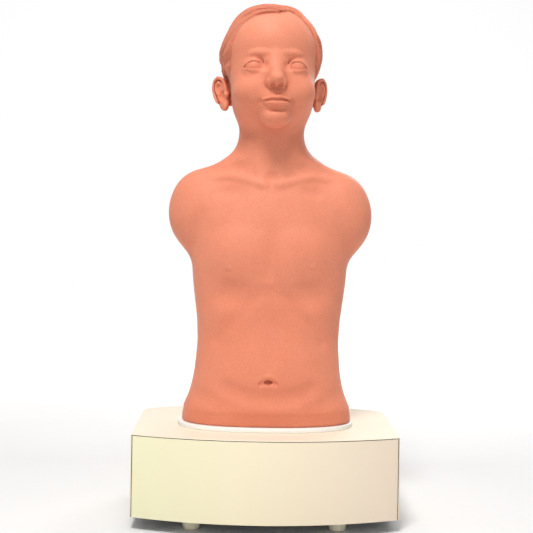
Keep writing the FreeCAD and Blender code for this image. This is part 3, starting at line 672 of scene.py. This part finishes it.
def shadeInHollows(p):
    # how closed in each point is, at four distances, for the painted shade in the skin's hollows
    slope = inBatches(lambda q: probe(q, True, 0.6)[1], p)
    n = slope / (size(slope)[:, None] + 1e-6)
    dark = np.zeros(len(p))
    for reach, weight in ((1.5, 0.32), (4.0, 0.30), (10.0, 0.26), (22.0, 0.08)):
        free = inBatches(lambda q: skinDistance(q, True), p + n * reach)
        dark += weight * np.clip(1 - free / reach, 0, 1)
    return dark


def finishSkin():
    mesh, p = buildSkin()
    piece = link("soft_skin", mesh)
    q = toHead(p)
    relief, sideAngle, sideReach, crownAngle, crownReach, toCrown = combed(q)
    inHair = smooth(-1.0, 3.0, hairEdge(q, relief)) * (p[:, 2] > plateTop + head["place"][2] - 10)
    # hollow holds how much painted shade each point gets
    layers = {"hollow": shadeInHollows(p), "inHair": inHair, "sideAngle": sideAngle, "sideReach": sideReach,
              "crownAngle": crownAngle, "crownReach": crownReach, "toCrown": toCrown}
    mesh.vertices.foreach_set("co", (p / millimetres).ravel())
    for name, values in layers.items():
        mesh.attributes.new(name, "FLOAT", "POINT").data.foreach_set("value", values.astype(np.float32))
    mesh.shade_smooth()
    mesh.update()
    return piece


class Finish:
    # a node material with short names for what the finishes below need

    def __init__(self, name):
        self.material = bpy.data.materials.new(name)
        self.material.use_nodes = True
        self.nodes, self.links = self.material.node_tree.nodes, self.material.node_tree.links
        self.shader = self.nodes["Principled BSDF"]
        self.place = self.node("ShaderNodeTexCoord").outputs["Object"]

    def node(self, kind, **settings):
        made = self.nodes.new(kind)
        for key, value in settings.items():
            setattr(made, key, value)
        return made

    def put(self, value, socket):
        if isinstance(value, bpy.types.NodeSocket):
            self.links.new(value, socket)
        else:
            socket.default_value = value

    def noise(self, scale, detail=3.0, rough=0.5, stretch=(1, 1, 1), place=None):
        mapping = self.node("ShaderNodeMapping")
        self.put(place or self.place, mapping.inputs["Vector"])
        mapping.inputs["Scale"].default_value = stretch
        made = self.node("ShaderNodeTexNoise")
        self.put(mapping.outputs[0], made.inputs["Vector"])
        made.inputs["Scale"].default_value = scale
        made.inputs["Detail"].default_value = detail
        made.inputs["Roughness"].default_value = rough
        return made.outputs["Fac"]

    def axis(self, number):
        split = self.node("ShaderNodeSeparateXYZ")
        self.put(self.place, split.inputs[0])
        return split.outputs[number]

    def reading(self, name):
        return self.node("ShaderNodeAttribute", attribute_name=name).outputs["Fac"]

    def math(self, kind, a, b=0.0, c=0.0):
        made = self.node("ShaderNodeMath", operation=kind)
        for socket, value in zip(made.inputs, (a, b, c)):
            self.put(value, socket)
        return made.outputs[0]

    def span(self, value, low, high, toLow=0.0, toHigh=1.0):
        made = self.node("ShaderNodeMapRange")
        keys = ("Value", "From Min", "From Max", "To Min", "To Max")
        for key, v in zip(keys, (value, low, high, toLow, toHigh)):
            self.put(v, made.inputs[key])
        return made.outputs[0]

    def mix(self, amount, first, second, blend="MIX"):
        made = self.node("ShaderNodeMix", data_type="RGBA", blend_type=blend)
        self.put(amount, made.inputs["Factor"])
        self.put(first, made.inputs["A"])
        self.put(second, made.inputs["B"])
        return made.outputs["Result"]

    def bump(self, height, strength, distance, normal=None):
        made = self.node("ShaderNodeBump")
        made.inputs["Strength"].default_value = strength
        made.inputs["Distance"].default_value = distance
        self.put(height, made.inputs["Height"])
        if normal is not None:
            self.put(normal, made.inputs["Normal"])
        return made.outputs["Normal"]

    def set(self, **values):
        for key, value in values.items():
            self.put(value, self.shader.inputs[key.replace("_", " ")])
        return self.material


def colour(red, green, blue):
    def linear(c):
        c /= 255
        return c / 12.92 if c <= 0.04045 else ((c + 0.055) / 1.055) ** 2.4
    return (linear(red), linear(green), linear(blue), 1.0)


# deep: a darker tone for the random mottling, the darker hem band, the hair and painted shade in hollows;
# crease: painted shade in the deepest hollows
vinyl = {
    "body": colour(238, 145, 112), "light": colour(247, 162, 133), "deep": colour(190, 94, 68),
    "crease": colour(120, 50, 36), "rough": 0.58, "poreSize": 850.0, "poreDepth": 0.00012,
    "hemTop": 0.1525, "hemFade": 0.002,  # metres above the floor
}


def skinFinish():
    f = Finish("soft_vinyl_skin")
    hollow, inHair = f.reading("hollow"), f.reading("inHair")
    tone = f.mix(f.span(f.noise(5, 2), 0.3, 0.75, 0.0, 0.45), vinyl["body"], vinyl["light"])
    tone = f.mix(f.span(f.noise(30, 3), 0.45, 0.8, 0.0, 0.10), tone, vinyl["deep"])
    tone = f.mix(f.span(f.noise(900, 2), 0.4, 0.75, 0.0, 0.34), tone, vinyl["deep"])
    hem = f.span(f.axis(2), vinyl["hemTop"], vinyl["hemTop"] - vinyl["hemFade"])
    tone = f.mix(f.math("MULTIPLY", hem, 0.10), tone, vinyl["deep"])
    # painted shade: the skin darkens, then reddens, in hollows and creases, the more each point is closed
    # in
    tone = f.mix(f.span(hollow, 0.12, 0.75, 0.0, 0.85), tone, vinyl["deep"])
    tone = f.mix(f.span(hollow, 0.45, 0.95, 0.0, 0.8), tone, vinyl["crease"])
    tone = f.mix(f.math("MULTIPLY", inHair, 0.10), tone, vinyl["deep"])
    lines = []
    for angle, reach in (("sideAngle", "sideReach"), ("crownAngle", "crownReach")):
        line = f.node("ShaderNodeCombineXYZ")
        f.put(f.math("MULTIPLY", f.reading(angle), 30.0), line.inputs[0])
        f.put(f.math("MULTIPLY", f.reading(reach), 1.6), line.inputs[1])
        fine = f.noise(2.4, 3, 0.6, place=line.outputs[0])
        lines.append(f.math("MULTIPLY", fine, f.span(f.reading(reach), 0.15, 0.5)))
    toCrown = f.reading("toCrown")
    strands = f.math("ADD", f.math("MULTIPLY", lines[0], f.math("SUBTRACT", 1.0, toCrown)),
                     f.math("MULTIPLY", lines[1], toCrown))
    normal = f.bump(f.noise(vinyl["poreSize"], 2, 0.6), 0.5, vinyl["poreDepth"])
    normal = f.bump(f.noise(160, 4, 0.55), 0.35, 0.0002, normal)
    normal = f.bump(f.math("MULTIPLY", strands, inHair), 1.0, 0.002, normal)
    rough = f.span(f.noise(60, 3), 0.3, 0.7, vinyl["rough"] - 0.06, vinyl["rough"] + 0.08)
    return f.set(Base_Color=tone, Roughness=rough, Normal=normal, Specular_IOR_Level=0.32,
                 Subsurface_Weight=0.12, Subsurface_Radius=(0.9, 0.35, 0.2), Subsurface_Scale=0.004,
                 Sheen_Weight=0.06, Sheen_Roughness=0.5)


def plasticFinish(name, tint, rough, grainSize, grainDepth, tintSpread=0.05):
    f = Finish(name)
    darker = tuple(c * (1 - tintSpread) for c in tint[:3]) + (1.0,)
    tone = f.mix(f.span(f.noise(7, 4), 0.3, 0.7), tint, darker)
    tone = f.mix(f.span(f.noise(260, 2), 0.55, 0.8, 0.0, 0.25), tone, darker)
    normal = f.bump(f.noise(grainSize, 3, 0.6), 0.5, grainDepth)
    return f.set(Base_Color=tone, Normal=normal, Specular_IOR_Level=0.4,
                 Roughness=f.span(f.noise(40, 4), 0.3, 0.7, rough - 0.06, rough + 0.08))


def metalFinish(name, tint, rough):
    f = Finish(name)
    tone = f.mix(f.span(f.noise(30, 5), 0.35, 0.7), tint, tuple(c * 0.72 for c in tint[:3]) + (1.0,))
    normal = f.bump(f.noise(500, 3, 0.6), 0.4, 0.00006)
    return f.set(Base_Color=tone, Metallic=1.0, Normal=normal,
                 Roughness=f.span(f.noise(70, 4, 0.6), 0.3, 0.7, rough - 0.08, rough + 0.12))


def woodFinish():
    f = Finish("raw_plywood")
    grain = f.noise(16, 6, 0.6, (1.0, 14.0, 3.0))
    tone = f.mix(f.span(grain, 0.3, 0.7), colour(196, 158, 112), colour(150, 108, 66))
    return f.set(Base_Color=tone, Roughness=0.7, Normal=f.bump(grain, 0.4, 0.0004))


def panelFinish():
    f = Finish("cream_front_panel_painted_light")
    # painted light: the panel runs from a yellowish cream at the left to a pinker, darker cream at the
    # right, as coloured light falls across it
    across = f.span(f.axis(0), -0.17, 0.17)
    tone = f.mix(f.span(across, 0.0, 0.5), colour(246, 243, 205), colour(245, 233, 204))
    tone = f.mix(f.span(across, 0.5, 1.0), tone, colour(240, 222, 203))
    tone = f.mix(f.span(f.noise(8, 4), 0.35, 0.7, 0.0, 0.12), tone, colour(236, 222, 190))
    normal = f.bump(f.noise(1000, 3, 0.6), 0.5, 0.00003)
    return f.set(Base_Color=tone, Normal=normal, Specular_IOR_Level=0.4,
                 Roughness=f.span(f.noise(40, 4), 0.3, 0.7, 0.38, 0.5))


finishes = {
    "skin_vinyl": skinFinish(),
    "cream_shell": plasticFinish("cream_cover", colour(250, 236, 214), 0.42, 900, 0.00003),
    "cream_panel": panelFinish(),
    "cream_foot": plasticFinish("cream_feet", colour(244, 236, 208), 0.6, 500, 0.00008),
    "white_plate": plasticFinish("white_plate", colour(250, 251, 248), 0.38, 900, 0.00002, 0.02),
    "black_plastic": plasticFinish("black_plastic", colour(34, 34, 35), 0.5, 700, 0.00006, 0.2),
    "grey_steel": plasticFinish("powder_coated_steel", colour(122, 126, 128), 0.5, 1100, 0.00008, 0.1),
    "steel": metalFinish("zinc_plated_steel", colour(190, 190, 184), 0.34),
    "iron": plasticFinish("painted_iron", colour(48, 50, 52), 0.6, 300, 0.0002, 0.2),
    "plywood": woodFinish(),
    "foam": plasticFinish("foam", colour(230, 215, 160), 0.9, 700, 0.0003),
}
print("finishes ready")


def place(piece, body, slotName, *nodes):
    if not piece.data.materials:
        piece.data.materials.append(finishes[slotName])
    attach(piece, body)
    if nodes:
        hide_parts(*nodes)
    return piece


softSkin = finishSkin()
place(softSkin, "torso", "skin_vinyl", "skin", "torso_foam", "head_foam")
print("skin ready")

slotOf = {row["node"]: row["material_slot"] for row in frame["record"]["subparts"]}
for name, node in frame["nodes"].items():
    node.data.materials.clear()
    node.data.materials.append(finishes[slotOf[name]])


# shaping tools for the hard pieces, in metres
def stack(name, *solids):
    # each solid is closed rings of equal count, joined one to the next and capped
    bm = bmesh.new()
    for rings in solids:
        made = [[bm.verts.new(q) for q in ring] for ring in rings]
        for low, high in zip(made[:-1], made[1:]):
            for i in range(len(low)):
                j = (i + 1) % len(low)
                bm.faces.new((low[i], low[j], high[j], high[i]))
        bm.faces.new(made[0][::-1])
        bm.faces.new(made[-1])
    bmesh.ops.recalc_face_normals(bm, faces=bm.faces)
    mesh = bpy.data.meshes.new(name)
    bm.to_mesh(mesh)
    bm.free()
    return link(name, mesh)


def applied(piece, sharp=35):
    # the mesh with its modifiers made real and its edges smooth up to an angle
    bpy.context.view_layer.update()
    mesh = bpy.data.meshes.new_from_object(piece.evaluated_get(bpy.context.evaluated_depsgraph_get()))
    piece.modifiers.clear()
    piece.data = mesh
    mesh.shade_smooth()
    mesh.set_sharp_from_angle(angle=math.radians(sharp))
    return piece


def carve(piece, cutters):
    for cutter in cutters:
        step = piece.modifiers.new("cut", "BOOLEAN")
        step.object = cutter
        step.solver = "EXACT"
    applied(piece)
    for cutter in cutters:
        bpy.data.objects.remove(cutter)
    return piece


def soften(piece, width, segments=3):
    step = piece.modifiers.new("soft edges", "BEVEL")
    step.width = width
    step.segments = segments
    step.limit_method = "ANGLE"
    step.angle_limit = math.radians(40)
    return applied(piece)


def offset(outline, inset):
    # the outline moved inwards, corners and all
    moved = []
    for before, here, after in zip(outline[-1:] + outline[:-1], outline, outline[1:] + outline[:1]):
        first, second = (here - before).normalized(), (after - here).normalized()
        a, b = Vector((-first.y, first.x)), Vector((-second.y, second.x))
        moved.append(here + (a + b) * inset / (1 + a.dot(b)))
    return moved


def level(outline, z, inset=0.0):
    return [(q.x, q.y, z) for q in (offset(outline, inset) if inset else outline)]


def quarter(steps=4):
    # a quarter round, from its foot to its top: how far in, how far down
    turns = [math.pi / 2 * i / steps for i in range(steps + 1)]
    return [(1 - math.cos(t), 1 - math.sin(t)) for t in turns]


def roundedLevels(outline, low, high, lowRound, highRound):
    under = [level(outline, low + lowRound * down, lowRound * inwards) for inwards, down in quarter()]
    over = [level(outline, high - highRound * down, highRound * inwards) for inwards, down in quarter()]
    return under[::-1] + over


def ring(radius, z, count=36, x=0.0, y=0.0):
    turns = [2 * math.pi * i / count for i in range(count)]
    return [(x + radius * math.cos(t), y + radius * math.sin(t), z) for t in turns]


def prism(outline, low, high):
    return stack("cutter", [level(outline, low), level(outline, high)])


def rectangle(low, high, room):
    left, front, right, rear = low.x - room, low.y - room, high.x + room, high.y + room
    return [Vector(q) for q in ((left, front), (right, front), (right, rear), (left, rear))]


def islands(node):
    # the low and high corner of each separate solid in a frame node
    mesh = frame["nodes"][node].data
    group = list(range(len(mesh.vertices)))

    def root(i):
        while group[i] != i:
            group[i] = group[group[i]]
            i = group[i]
        return i

    keys = {}
    for i, v in enumerate(mesh.vertices):
        j = keys.setdefault(tuple(round(c, 6) for c in v.co), i)
        group[root(i)] = root(j)
    for edge in mesh.edges:
        group[root(edge.vertices[0])] = root(edge.vertices[1])
    sets = {}
    for i, v in enumerate(mesh.vertices):
        sets.setdefault(root(i), []).append(v.co)
    boxes = []
    for points in sets.values():
        low = Vector([min(q[k] for q in points) for k in range(3)])
        high = Vector([max(q[k] for q in points) for k in range(3)])
        boxes.append((low, high))
    return sorted(boxes, key=lambda b: (round(b[0].x, 4), round(b[0].y, 4)))


# the base: a thin bowed cover with its front panel
base = {
    "frontBow": 0.034, "rearBow": 0.048, "sideDepth": 0.206, "rearWidth": 0.370, "cornerRadius": 0.032,
    "wall": 0.003, "lip": 0.0012, "reveal": 0.001, "recess": 0.0034,
    "edgeRound": 0.001, "lowEdgeRound": 0.0004, "softEdge": 0.00035,
    "panelThickness": 0.003, "panelSoftEdge": 0.0005,
    "stripFront": 0.0009, "stripBack": 0.0029, "stripRoom": 0.00005,  # the dark strip round the panel, painted shade in the gap
    "cutRoom": 0.0002, "past": 0.01,  # clearance of a cut, how far a cutter runs past the wall
    "frontSteps": 72, "rearSteps": 56, "cornerSteps": 12,
}
panelLow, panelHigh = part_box("front_panel")
collarLow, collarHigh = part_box("socket_collar")
frontHalf = panelHigh.x + base["reveal"] + base["lip"]
frontY, rearY = coverLow.y, coverHigh.y
frontRadius = (frontHalf ** 2 + base["frontBow"] ** 2) / (2 * base["frontBow"])
rearHalf = base["rearWidth"] / 2
rearRadius = (rearHalf ** 2 + base["rearBow"] ** 2) / (2 * base["rearBow"])


def frontArc(half, inset=0.0):
    radius, count = frontRadius - inset, base["frontSteps"]
    xs = [half * (2 * i / count - 1) for i in range(count + 1)]
    return [Vector((x, frontY + frontRadius - math.sqrt(radius ** 2 - x * x))) for x in xs]


def basePlan(frontInset=0.0):
    # anticlockwise from the front's left end, with a rounded corner between each side and the rear
    front = frontArc(frontHalf, frontInset)
    corner = Vector((rearHalf, frontY + base["frontBow"] + base["sideDepth"]))
    along = (corner - frontArc(frontHalf)[-1]).normalized()
    turn = math.pi / 2 - math.asin(rearHalf / rearRadius) + math.atan2(along.x, along.y)
    reach = base["cornerRadius"] * math.tan(turn / 2)
    start = corner - along * reach
    x = rearHalf - reach * math.cos(math.asin(rearHalf / rearRadius))
    rear = [Vector((x * (1 - 2 * i / base["rearSteps"]), 0)) for i in range(base["rearSteps"] + 1)]
    for q in rear:
        q.y = rearY - rearRadius + math.sqrt(rearRadius ** 2 - q.x ** 2)
    weight = math.cos(turn / 2)
    rounding = []
    for i in range(1, base["cornerSteps"]):
        t = i / base["cornerSteps"]
        a, b, c = (1 - t) ** 2, 2 * t * (1 - t) * weight, t * t
        rounding.append((start * a + corner * b + rear[0] * c) / (a + b + c))
    side = [start] + rounding
    mirrored = [Vector((-q.x, q.y)) for q in reversed(side)]
    return front + side + rear + mirrored


def buildCover():
    top, bottom, past = coverHigh.z, coverLow.z, base["past"]
    plan = basePlan()
    cover = stack("bowed_cover", roundedLevels(plan, bottom, top, base["lowEdgeRound"], base["edgeRound"]))
    hollow = offset(basePlan(base["recess"] - base["wall"] - base["cutRoom"]), base["wall"])
    half = frontHalf - base["lip"]
    band = frontArc(half, -2 * base["wall"]) + frontArc(half, base["recess"])[::-1]
    cover = carve(cover, [
        prism(hollow, bottom - past, top - base["wall"]),
        prism(band, bottom - past, top - base["lip"]),
        prism(rectangle(collarLow, collarHigh, base["cutRoom"]), top - 2 * past, top + past),
    ])
    return place(soften(cover, base["softEdge"], 2), "base", "cream_shell", "base_cover")


def buildPanel():
    plan = frontArc(panelHigh.x) + frontArc(panelHigh.x, base["panelThickness"])[::-1]
    panel = stack("bowed_front_panel", [level(plan, panelLow.z), level(plan, panelHigh.z)])
    return place(soften(panel, base["panelSoftEdge"]), "base", "cream_panel", "front_panel")


def buildGapShadeStrip():
    # a dark strip that sits back in the gap round the panel, painted shade that darkens the gap: one length
    # above it, one at each side
    near, far, room = base["stripFront"], base["stripBack"], base["stripRoom"]
    half = frontHalf - base["lip"] - room
    plan = frontArc(half, near) + frontArc(half, far)[::-1]
    lengths = [[level(plan, z) for z in (panelHigh.z + room, panelHigh.z + base["reveal"] - room)]]
    front, back = [frontArc(half, inset)[-1].y for inset in (near, far)]
    for side in (-1, 1):
        a, b = side * (panelHigh.x + room), side * half
        lengths.append([[(a, front, z), (b, front, z), (b, back, z), (a, back, z)]
                        for z in (panelLow.z + room, panelHigh.z + room / 2)])
    return place(applied(stack("panel_gap_strip", *lengths)), "base", "black_plastic")


# the torso's plate
plate = {
    "squareness": 2.5, "topRound": 0.0012, "lowRound": 0.0015, "steps": 144,
    "headRoom": 0.0005, "spineRoom": 0.0002, "past": 0.01,
}


def platePlan():
    middle = (plateLow + plateHigh) / 2
    wide, deep = (plateHigh.x - plateLow.x) / 2, (plateHigh.y - plateLow.y) / 2
    points, power = [], 2 / plate["squareness"]
    for i in range(plate["steps"]):
        t = 2 * math.pi * i / plate["steps"]
        c, s = math.cos(t), math.sin(t)
        points.append(Vector((middle.x + wide * math.copysign(abs(c) ** power, c),
                              middle.y + deep * math.copysign(abs(s) ** power, s))))
    return points


def buildPlate():
    piece = stack("torso_rim_plate", roundedLevels(platePlan(), plateLow.z, plateHigh.z,
                                                   plate["lowRound"], plate["topRound"]))
    cutters = []
    for node in ("flange_bolts", "ring_screws"):
        for low, high in islands(node):
            x, y = (low.x + high.x) / 2, (low.y + high.y) / 2
            radius = (high.x - low.x) / 2 + plate["headRoom"]
            seat = ((radius, -0.001), (radius, 0.0005), (radius * 0.45, radius * 0.6))
            cutters.append(stack("cutter", [ring(r, plateLow.z + z, x=x, y=y) for r, z in seat]))
    cutters.append(prism(rectangle(spineLow, spineHigh, plate["spineRoom"]),
                         plateLow.z - plate["past"], plateHigh.z + plate["past"]))
    return place(carve(piece, cutters), "torso", "white_plate", "torso_plate")


# feet and screws: one tool, set on every place by a rule
feet = {
    "topRadius": 0.0128, "lowRadius": 0.0114, "round": 0.003, "topChamfer": 0.0006,
    "recess": 0.0046, "recessDepth": 0.0085, "recessChamfer": 0.0005, "steps": 10, "count": 48,
    "seed": 4, "largestTurn": 6.28,
}
screwForm = {
    "keyChamfer": 1.15, "headSwell": 0.28, "headRound": 0.4, "sunkEdge": 0.0002, "keyEdge": 0.0001,
    "shank": 0.5, "turns": 7, "valley": 0.92, "tip": 0.85, "neck": 0.0004, "tail": 0.001,
    "seed": 11, "largestTurn": 1.05,
}
screws = {
    # each node's head height, size of the key's hole, its depth, countersunk or not
    "pan_screws": (0.0024, 0.0014, 0.0013, False), "foot_screws": (0.0024, 0.0014, 0.0013, False),
    "post_screws": (0.0032, 0.0021, 0.0018, False), "bridge_bolts": (0.0032, 0.0021, 0.0018, False),
    "ballast_bolts": (0.0032, 0.0021, 0.0018, False), "flange_bolts": (0.0033, 0.0020, 0.0018, True),
    "ring_screws": (0.0024, 0.0013, 0.0013, True),
}


def spread(name, tool, spots, settings):
    # a copy of the tool on each spot, turned at random, made real and joined in one mesh
    tree = bpy.data.node_groups.new(name + "_rule", "GeometryNodeTree")
    face = tree.interface
    face.new_socket("Places", in_out="INPUT", socket_type="NodeSocketGeometry")
    toolSocket = face.new_socket("Tool", in_out="INPUT", socket_type="NodeSocketObject")
    seedSocket = face.new_socket("Seed", in_out="INPUT", socket_type="NodeSocketInt")
    turnSocket = face.new_socket("Largest turn", in_out="INPUT", socket_type="NodeSocketFloat")
    face.new_socket("Pieces", in_out="OUTPUT", socket_type="NodeSocketGeometry")
    nodes, links = tree.nodes, tree.links
    start, end = nodes.new("NodeGroupInput"), nodes.new("NodeGroupOutput")
    info = nodes.new("GeometryNodeObjectInfo")
    info.transform_space = "RELATIVE"
    chance = nodes.new("FunctionNodeRandomValue")
    turn = nodes.new("ShaderNodeCombineXYZ")
    copies = nodes.new("GeometryNodeInstanceOnPoints")
    real = nodes.new("GeometryNodeRealizeInstances")
    paint = nodes.new("GeometryNodeSetMaterial")
    paint.inputs["Material"].default_value = tool.data.materials[0]
    largest = [i for i in chance.inputs if i.name == "Max" and i.type == "VALUE"][0]
    drawn = [o for o in chance.outputs if o.type == "VALUE"][0]
    for output, socket in (
            (start.outputs["Tool"], info.inputs["Object"]), (start.outputs["Seed"], chance.inputs["Seed"]),
            (start.outputs["Largest turn"], largest), (drawn, turn.inputs["Z"]),
            (start.outputs["Places"], copies.inputs["Points"]),
            (info.outputs["Geometry"], copies.inputs["Instance"]),
            (turn.outputs[0], copies.inputs["Rotation"]), (copies.outputs[0], real.inputs[0]),
            (real.outputs[0], paint.inputs["Geometry"]), (paint.outputs[0], end.inputs["Pieces"])):
        links.new(output, socket)
    mesh = bpy.data.meshes.new(name)
    mesh.from_pydata([tuple(q) for q in spots], [], [])
    piece = link(name, mesh)
    rule = piece.modifiers.new("rule", "NODES")
    rule.node_group = tree
    rule[toolSocket.identifier] = tool
    rule[seedSocket.identifier] = settings["seed"]
    rule[turnSocket.identifier] = settings["largestTurn"]
    applied(piece)
    bpy.data.objects.remove(tool)
    return piece


def buildFeet():
    low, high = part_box("foot_front_left")
    tall, count, foot = high.z - low.z, feet["count"], feet["round"]
    recess, chamfer = feet["recess"], feet["recessChamfer"]
    rings = [ring(recess, feet["recessDepth"], count), ring(recess, chamfer, count),
             ring(recess + chamfer, 0.0, count)]
    for up, inwards in quarter():
        rings.append(ring(feet["lowRadius"] - foot * inwards, foot * up, count))
    for i in range(1, feet["steps"] + 1):
        t = i / feet["steps"]
        radius = feet["lowRadius"] + (feet["topRadius"] - feet["lowRadius"]) * t
        rings.append(ring(radius, foot + (tall - foot) * t, count))
    rings.append(ring(feet["topRadius"] - feet["topChamfer"], tall, count))
    tool = stack("foot_tool", rings)
    tool.data.materials.append(finishes["cream_foot"])
    nodes = ("foot_front_left", "foot_front_right", "foot_rear_left", "foot_rear_right")
    spots = []
    for node in nodes:
        a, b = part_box(node)
        spots.append(((a.x + b.x) / 2, (a.y + b.y) / 2, a.z))
    return place(spread("ringed_feet", tool, spots, feet), "base", "cream_foot", *nodes)


def hexagon(radius, z, count=36):
    points, sixth = [], math.pi / 3
    for i in range(count):
        t = 2 * math.pi * i / count
        reach = radius * math.cos(sixth / 2) / math.cos((t % sixth) - sixth / 2)
        points.append((reach * math.cos(t), reach * math.sin(t), z))
    return points


def buildScrews(node, body, number):
    headHeight, keySize, keyDepth, sunk = screws[node]
    form, boxes = screwForm, islands(node)
    low, high = boxes[0]
    radius, tall = (high.x - low.x) / 2, high.z - low.z
    shank, edge = radius * form["shank"], form["sunkEdge"]
    rings = [hexagon(keySize, keyDepth), hexagon(keySize, form["keyEdge"]),
             ring(keySize * form["keyChamfer"], 0.0)]
    if sunk:
        rings += [ring(radius - edge, 0.0), ring(radius, edge), ring(shank, headHeight)]
    else:
        for up, inwards in quarter():
            swell = 1 - form["headSwell"] * inwards
            rings.append(ring(radius * swell, form["headRound"] * headHeight * up))
        rings += [ring(radius, headHeight), ring(shank, headHeight)]
    steps = form["turns"] * 2
    for i in range(steps):  # ridges and valleys of the thread
        z = headHeight + form["neck"] + (tall - headHeight - form["tail"]) * i / steps
        rings.append(ring(shank * (form["valley"] if i % 2 else 1.0), z))
    rings.append(ring(shank * form["tip"], tall))
    tool = stack(node + "_tool", rings)
    tool.data.materials.append(finishes["steel"])
    spots = [((a.x + b.x) / 2, (a.y + b.y) / 2, a.z) for a, b in boxes]
    piece = spread("fitted_" + node, tool, spots, {**form, "seed": form["seed"] + number})
    return place(piece, body, "steel", node)


buildCover()
buildPanel()
buildGapShadeStrip()
buildPlate()
buildFeet()
for number, node in enumerate(screws):
    buildScrews(node, "torso" if node in ("flange_bolts", "ring_screws") else "base", number)
print("base, plate, feet and screws ready")


studio = {
    "cameraPlace": (-0.023, -1.324, 0.366), "cameraTurn": -0.94, "cameraRoll": 0.95, "lens": 61.7,
    "shiftY": -0.0197,
    # place, width, power, colour
    "lights": {
        "key_light": ((-0.3, -1.2, 2.45), 0.6, 41.0, (1.0, 0.985, 0.96)),
        "fill_light": ((0.3, -1.9, 0.7), 0.9, 1.1, (1.0, 0.96, 0.95)),
        "top_light": ((0.0, 0.1, 2.3), 1.2, 2.0, (1.0, 1.0, 1.0)),
        "back_light": ((0.9, 1.7, 1.5), 0.8, 9.0, (1.0, 1.0, 1.0)),
    },
    "aim": (0, 0, 0.4),
    "baseLight": (0.1, -1.9, 0.3), "baseCone": 15.0, "basePower": 17.5, "baseAim": (0, -0.12, 0.02),
    "roomLight": 0.27, "backdropLight": 1.0, "ceilingLight": 0.56,
    "floorGlow": 0.62,  # how much the floor brightens towards the wall behind
    "floorHalf": 6,
}


def hang(name, light, where, aim):
    lamp = link(name, light)
    lamp.location = where
    lamp.rotation_euler = (Vector(aim) - lamp.location).to_track_quat("-Z", "Y").to_euler()


def buildLights():
    for name, (where, width, power, tint) in studio["lights"].items():
        light = bpy.data.lights.new(name, "AREA")
        light.size, light.energy, light.color = width, power, tint
        hang(name, light, where, studio["aim"])
    light = bpy.data.lights.new("base_light", "SPOT")
    light.energy = studio["basePower"]
    light.spot_size = math.radians(studio["baseCone"])
    light.spot_blend = 0.7
    light.shadow_soft_size = 0.25
    hang("base_light", light, studio["baseLight"], studio["baseAim"])


def buildRoom():
    # an even room, brighter on the wall behind and on the ceiling
    world = bpy.data.worlds.new("studio")
    world.use_nodes = True
    nodes, links = world.node_tree.nodes, world.node_tree.links
    split, brightest = nodes.new("ShaderNodeSeparateXYZ"), nodes.new("ShaderNodeMath")
    links.new(nodes.new("ShaderNodeTexCoord").outputs["Generated"], split.inputs[0])
    brightest.operation = "MAXIMUM"
    sides = (("Y", 0.70, 0.95, studio["backdropLight"]), ("Z", 0.1, 0.75, studio["ceilingLight"]))
    for number, (axis, low, high, bright) in enumerate(sides):
        glow = nodes.new("ShaderNodeMapRange")
        glow.interpolation_type = "SMOOTHSTEP"
        settings = {"From Min": low, "From Max": high, "To Min": studio["roomLight"], "To Max": bright}
        for key, value in settings.items():
            glow.inputs[key].default_value = value
        links.new(split.outputs[axis], glow.inputs["Value"])
        links.new(glow.outputs["Result"], brightest.inputs[number])
    links.new(brightest.outputs[0], nodes["Background"].inputs["Strength"])
    nodes["Background"].inputs["Color"].default_value = (1.0, 1.0, 1.0, 1.0)
    bpy.context.scene.world = world
    bpy.context.scene.view_settings.view_transform = "Standard"


def buildFloor():
    half = studio["floorHalf"]
    corners = [(-half, -half, 0), (half, -half, 0), (half, half, 0), (-half, half, 0)]
    mesh = meshFrom("floor", corners, [(0, 1, 2, 3)])
    floor = link("floor", mesh)
    f = Finish("studio_floor")
    tone = f.mix(f.span(f.noise(3, 3), 0.3, 0.7), colour(240, 240, 240), colour(237, 237, 237))
    far = f.span(f.axis(1), 0.3, 2.2, 0.0, studio["floorGlow"])
    mesh.materials.append(f.set(Base_Color=tone, Roughness=0.9, Specular_IOR_Level=0.1,
                                Emission_Color=(1.0, 1.0, 1.0, 1.0), Emission_Strength=far))


def buildCamera():
    lens = bpy.data.cameras.new("camera")
    lens.lens = studio["lens"]
    lens.sensor_width = 36
    lens.shift_y = studio["shiftY"]
    camera = link("camera", lens)
    camera.location = studio["cameraPlace"]
    turns = ((studio["cameraTurn"], "Z"), (90, "X"), (studio["cameraRoll"], "Z"))
    look = Matrix.Identity(4)
    for degrees, axis in turns:
        look = look @ Matrix.Rotation(math.radians(degrees), 4, axis)
    camera.rotation_euler = look.to_euler()
    bpy.context.scene.camera = camera


buildLights()
buildRoom()
buildFloor()
buildCamera()
print("lights, room, floor and camera ready")
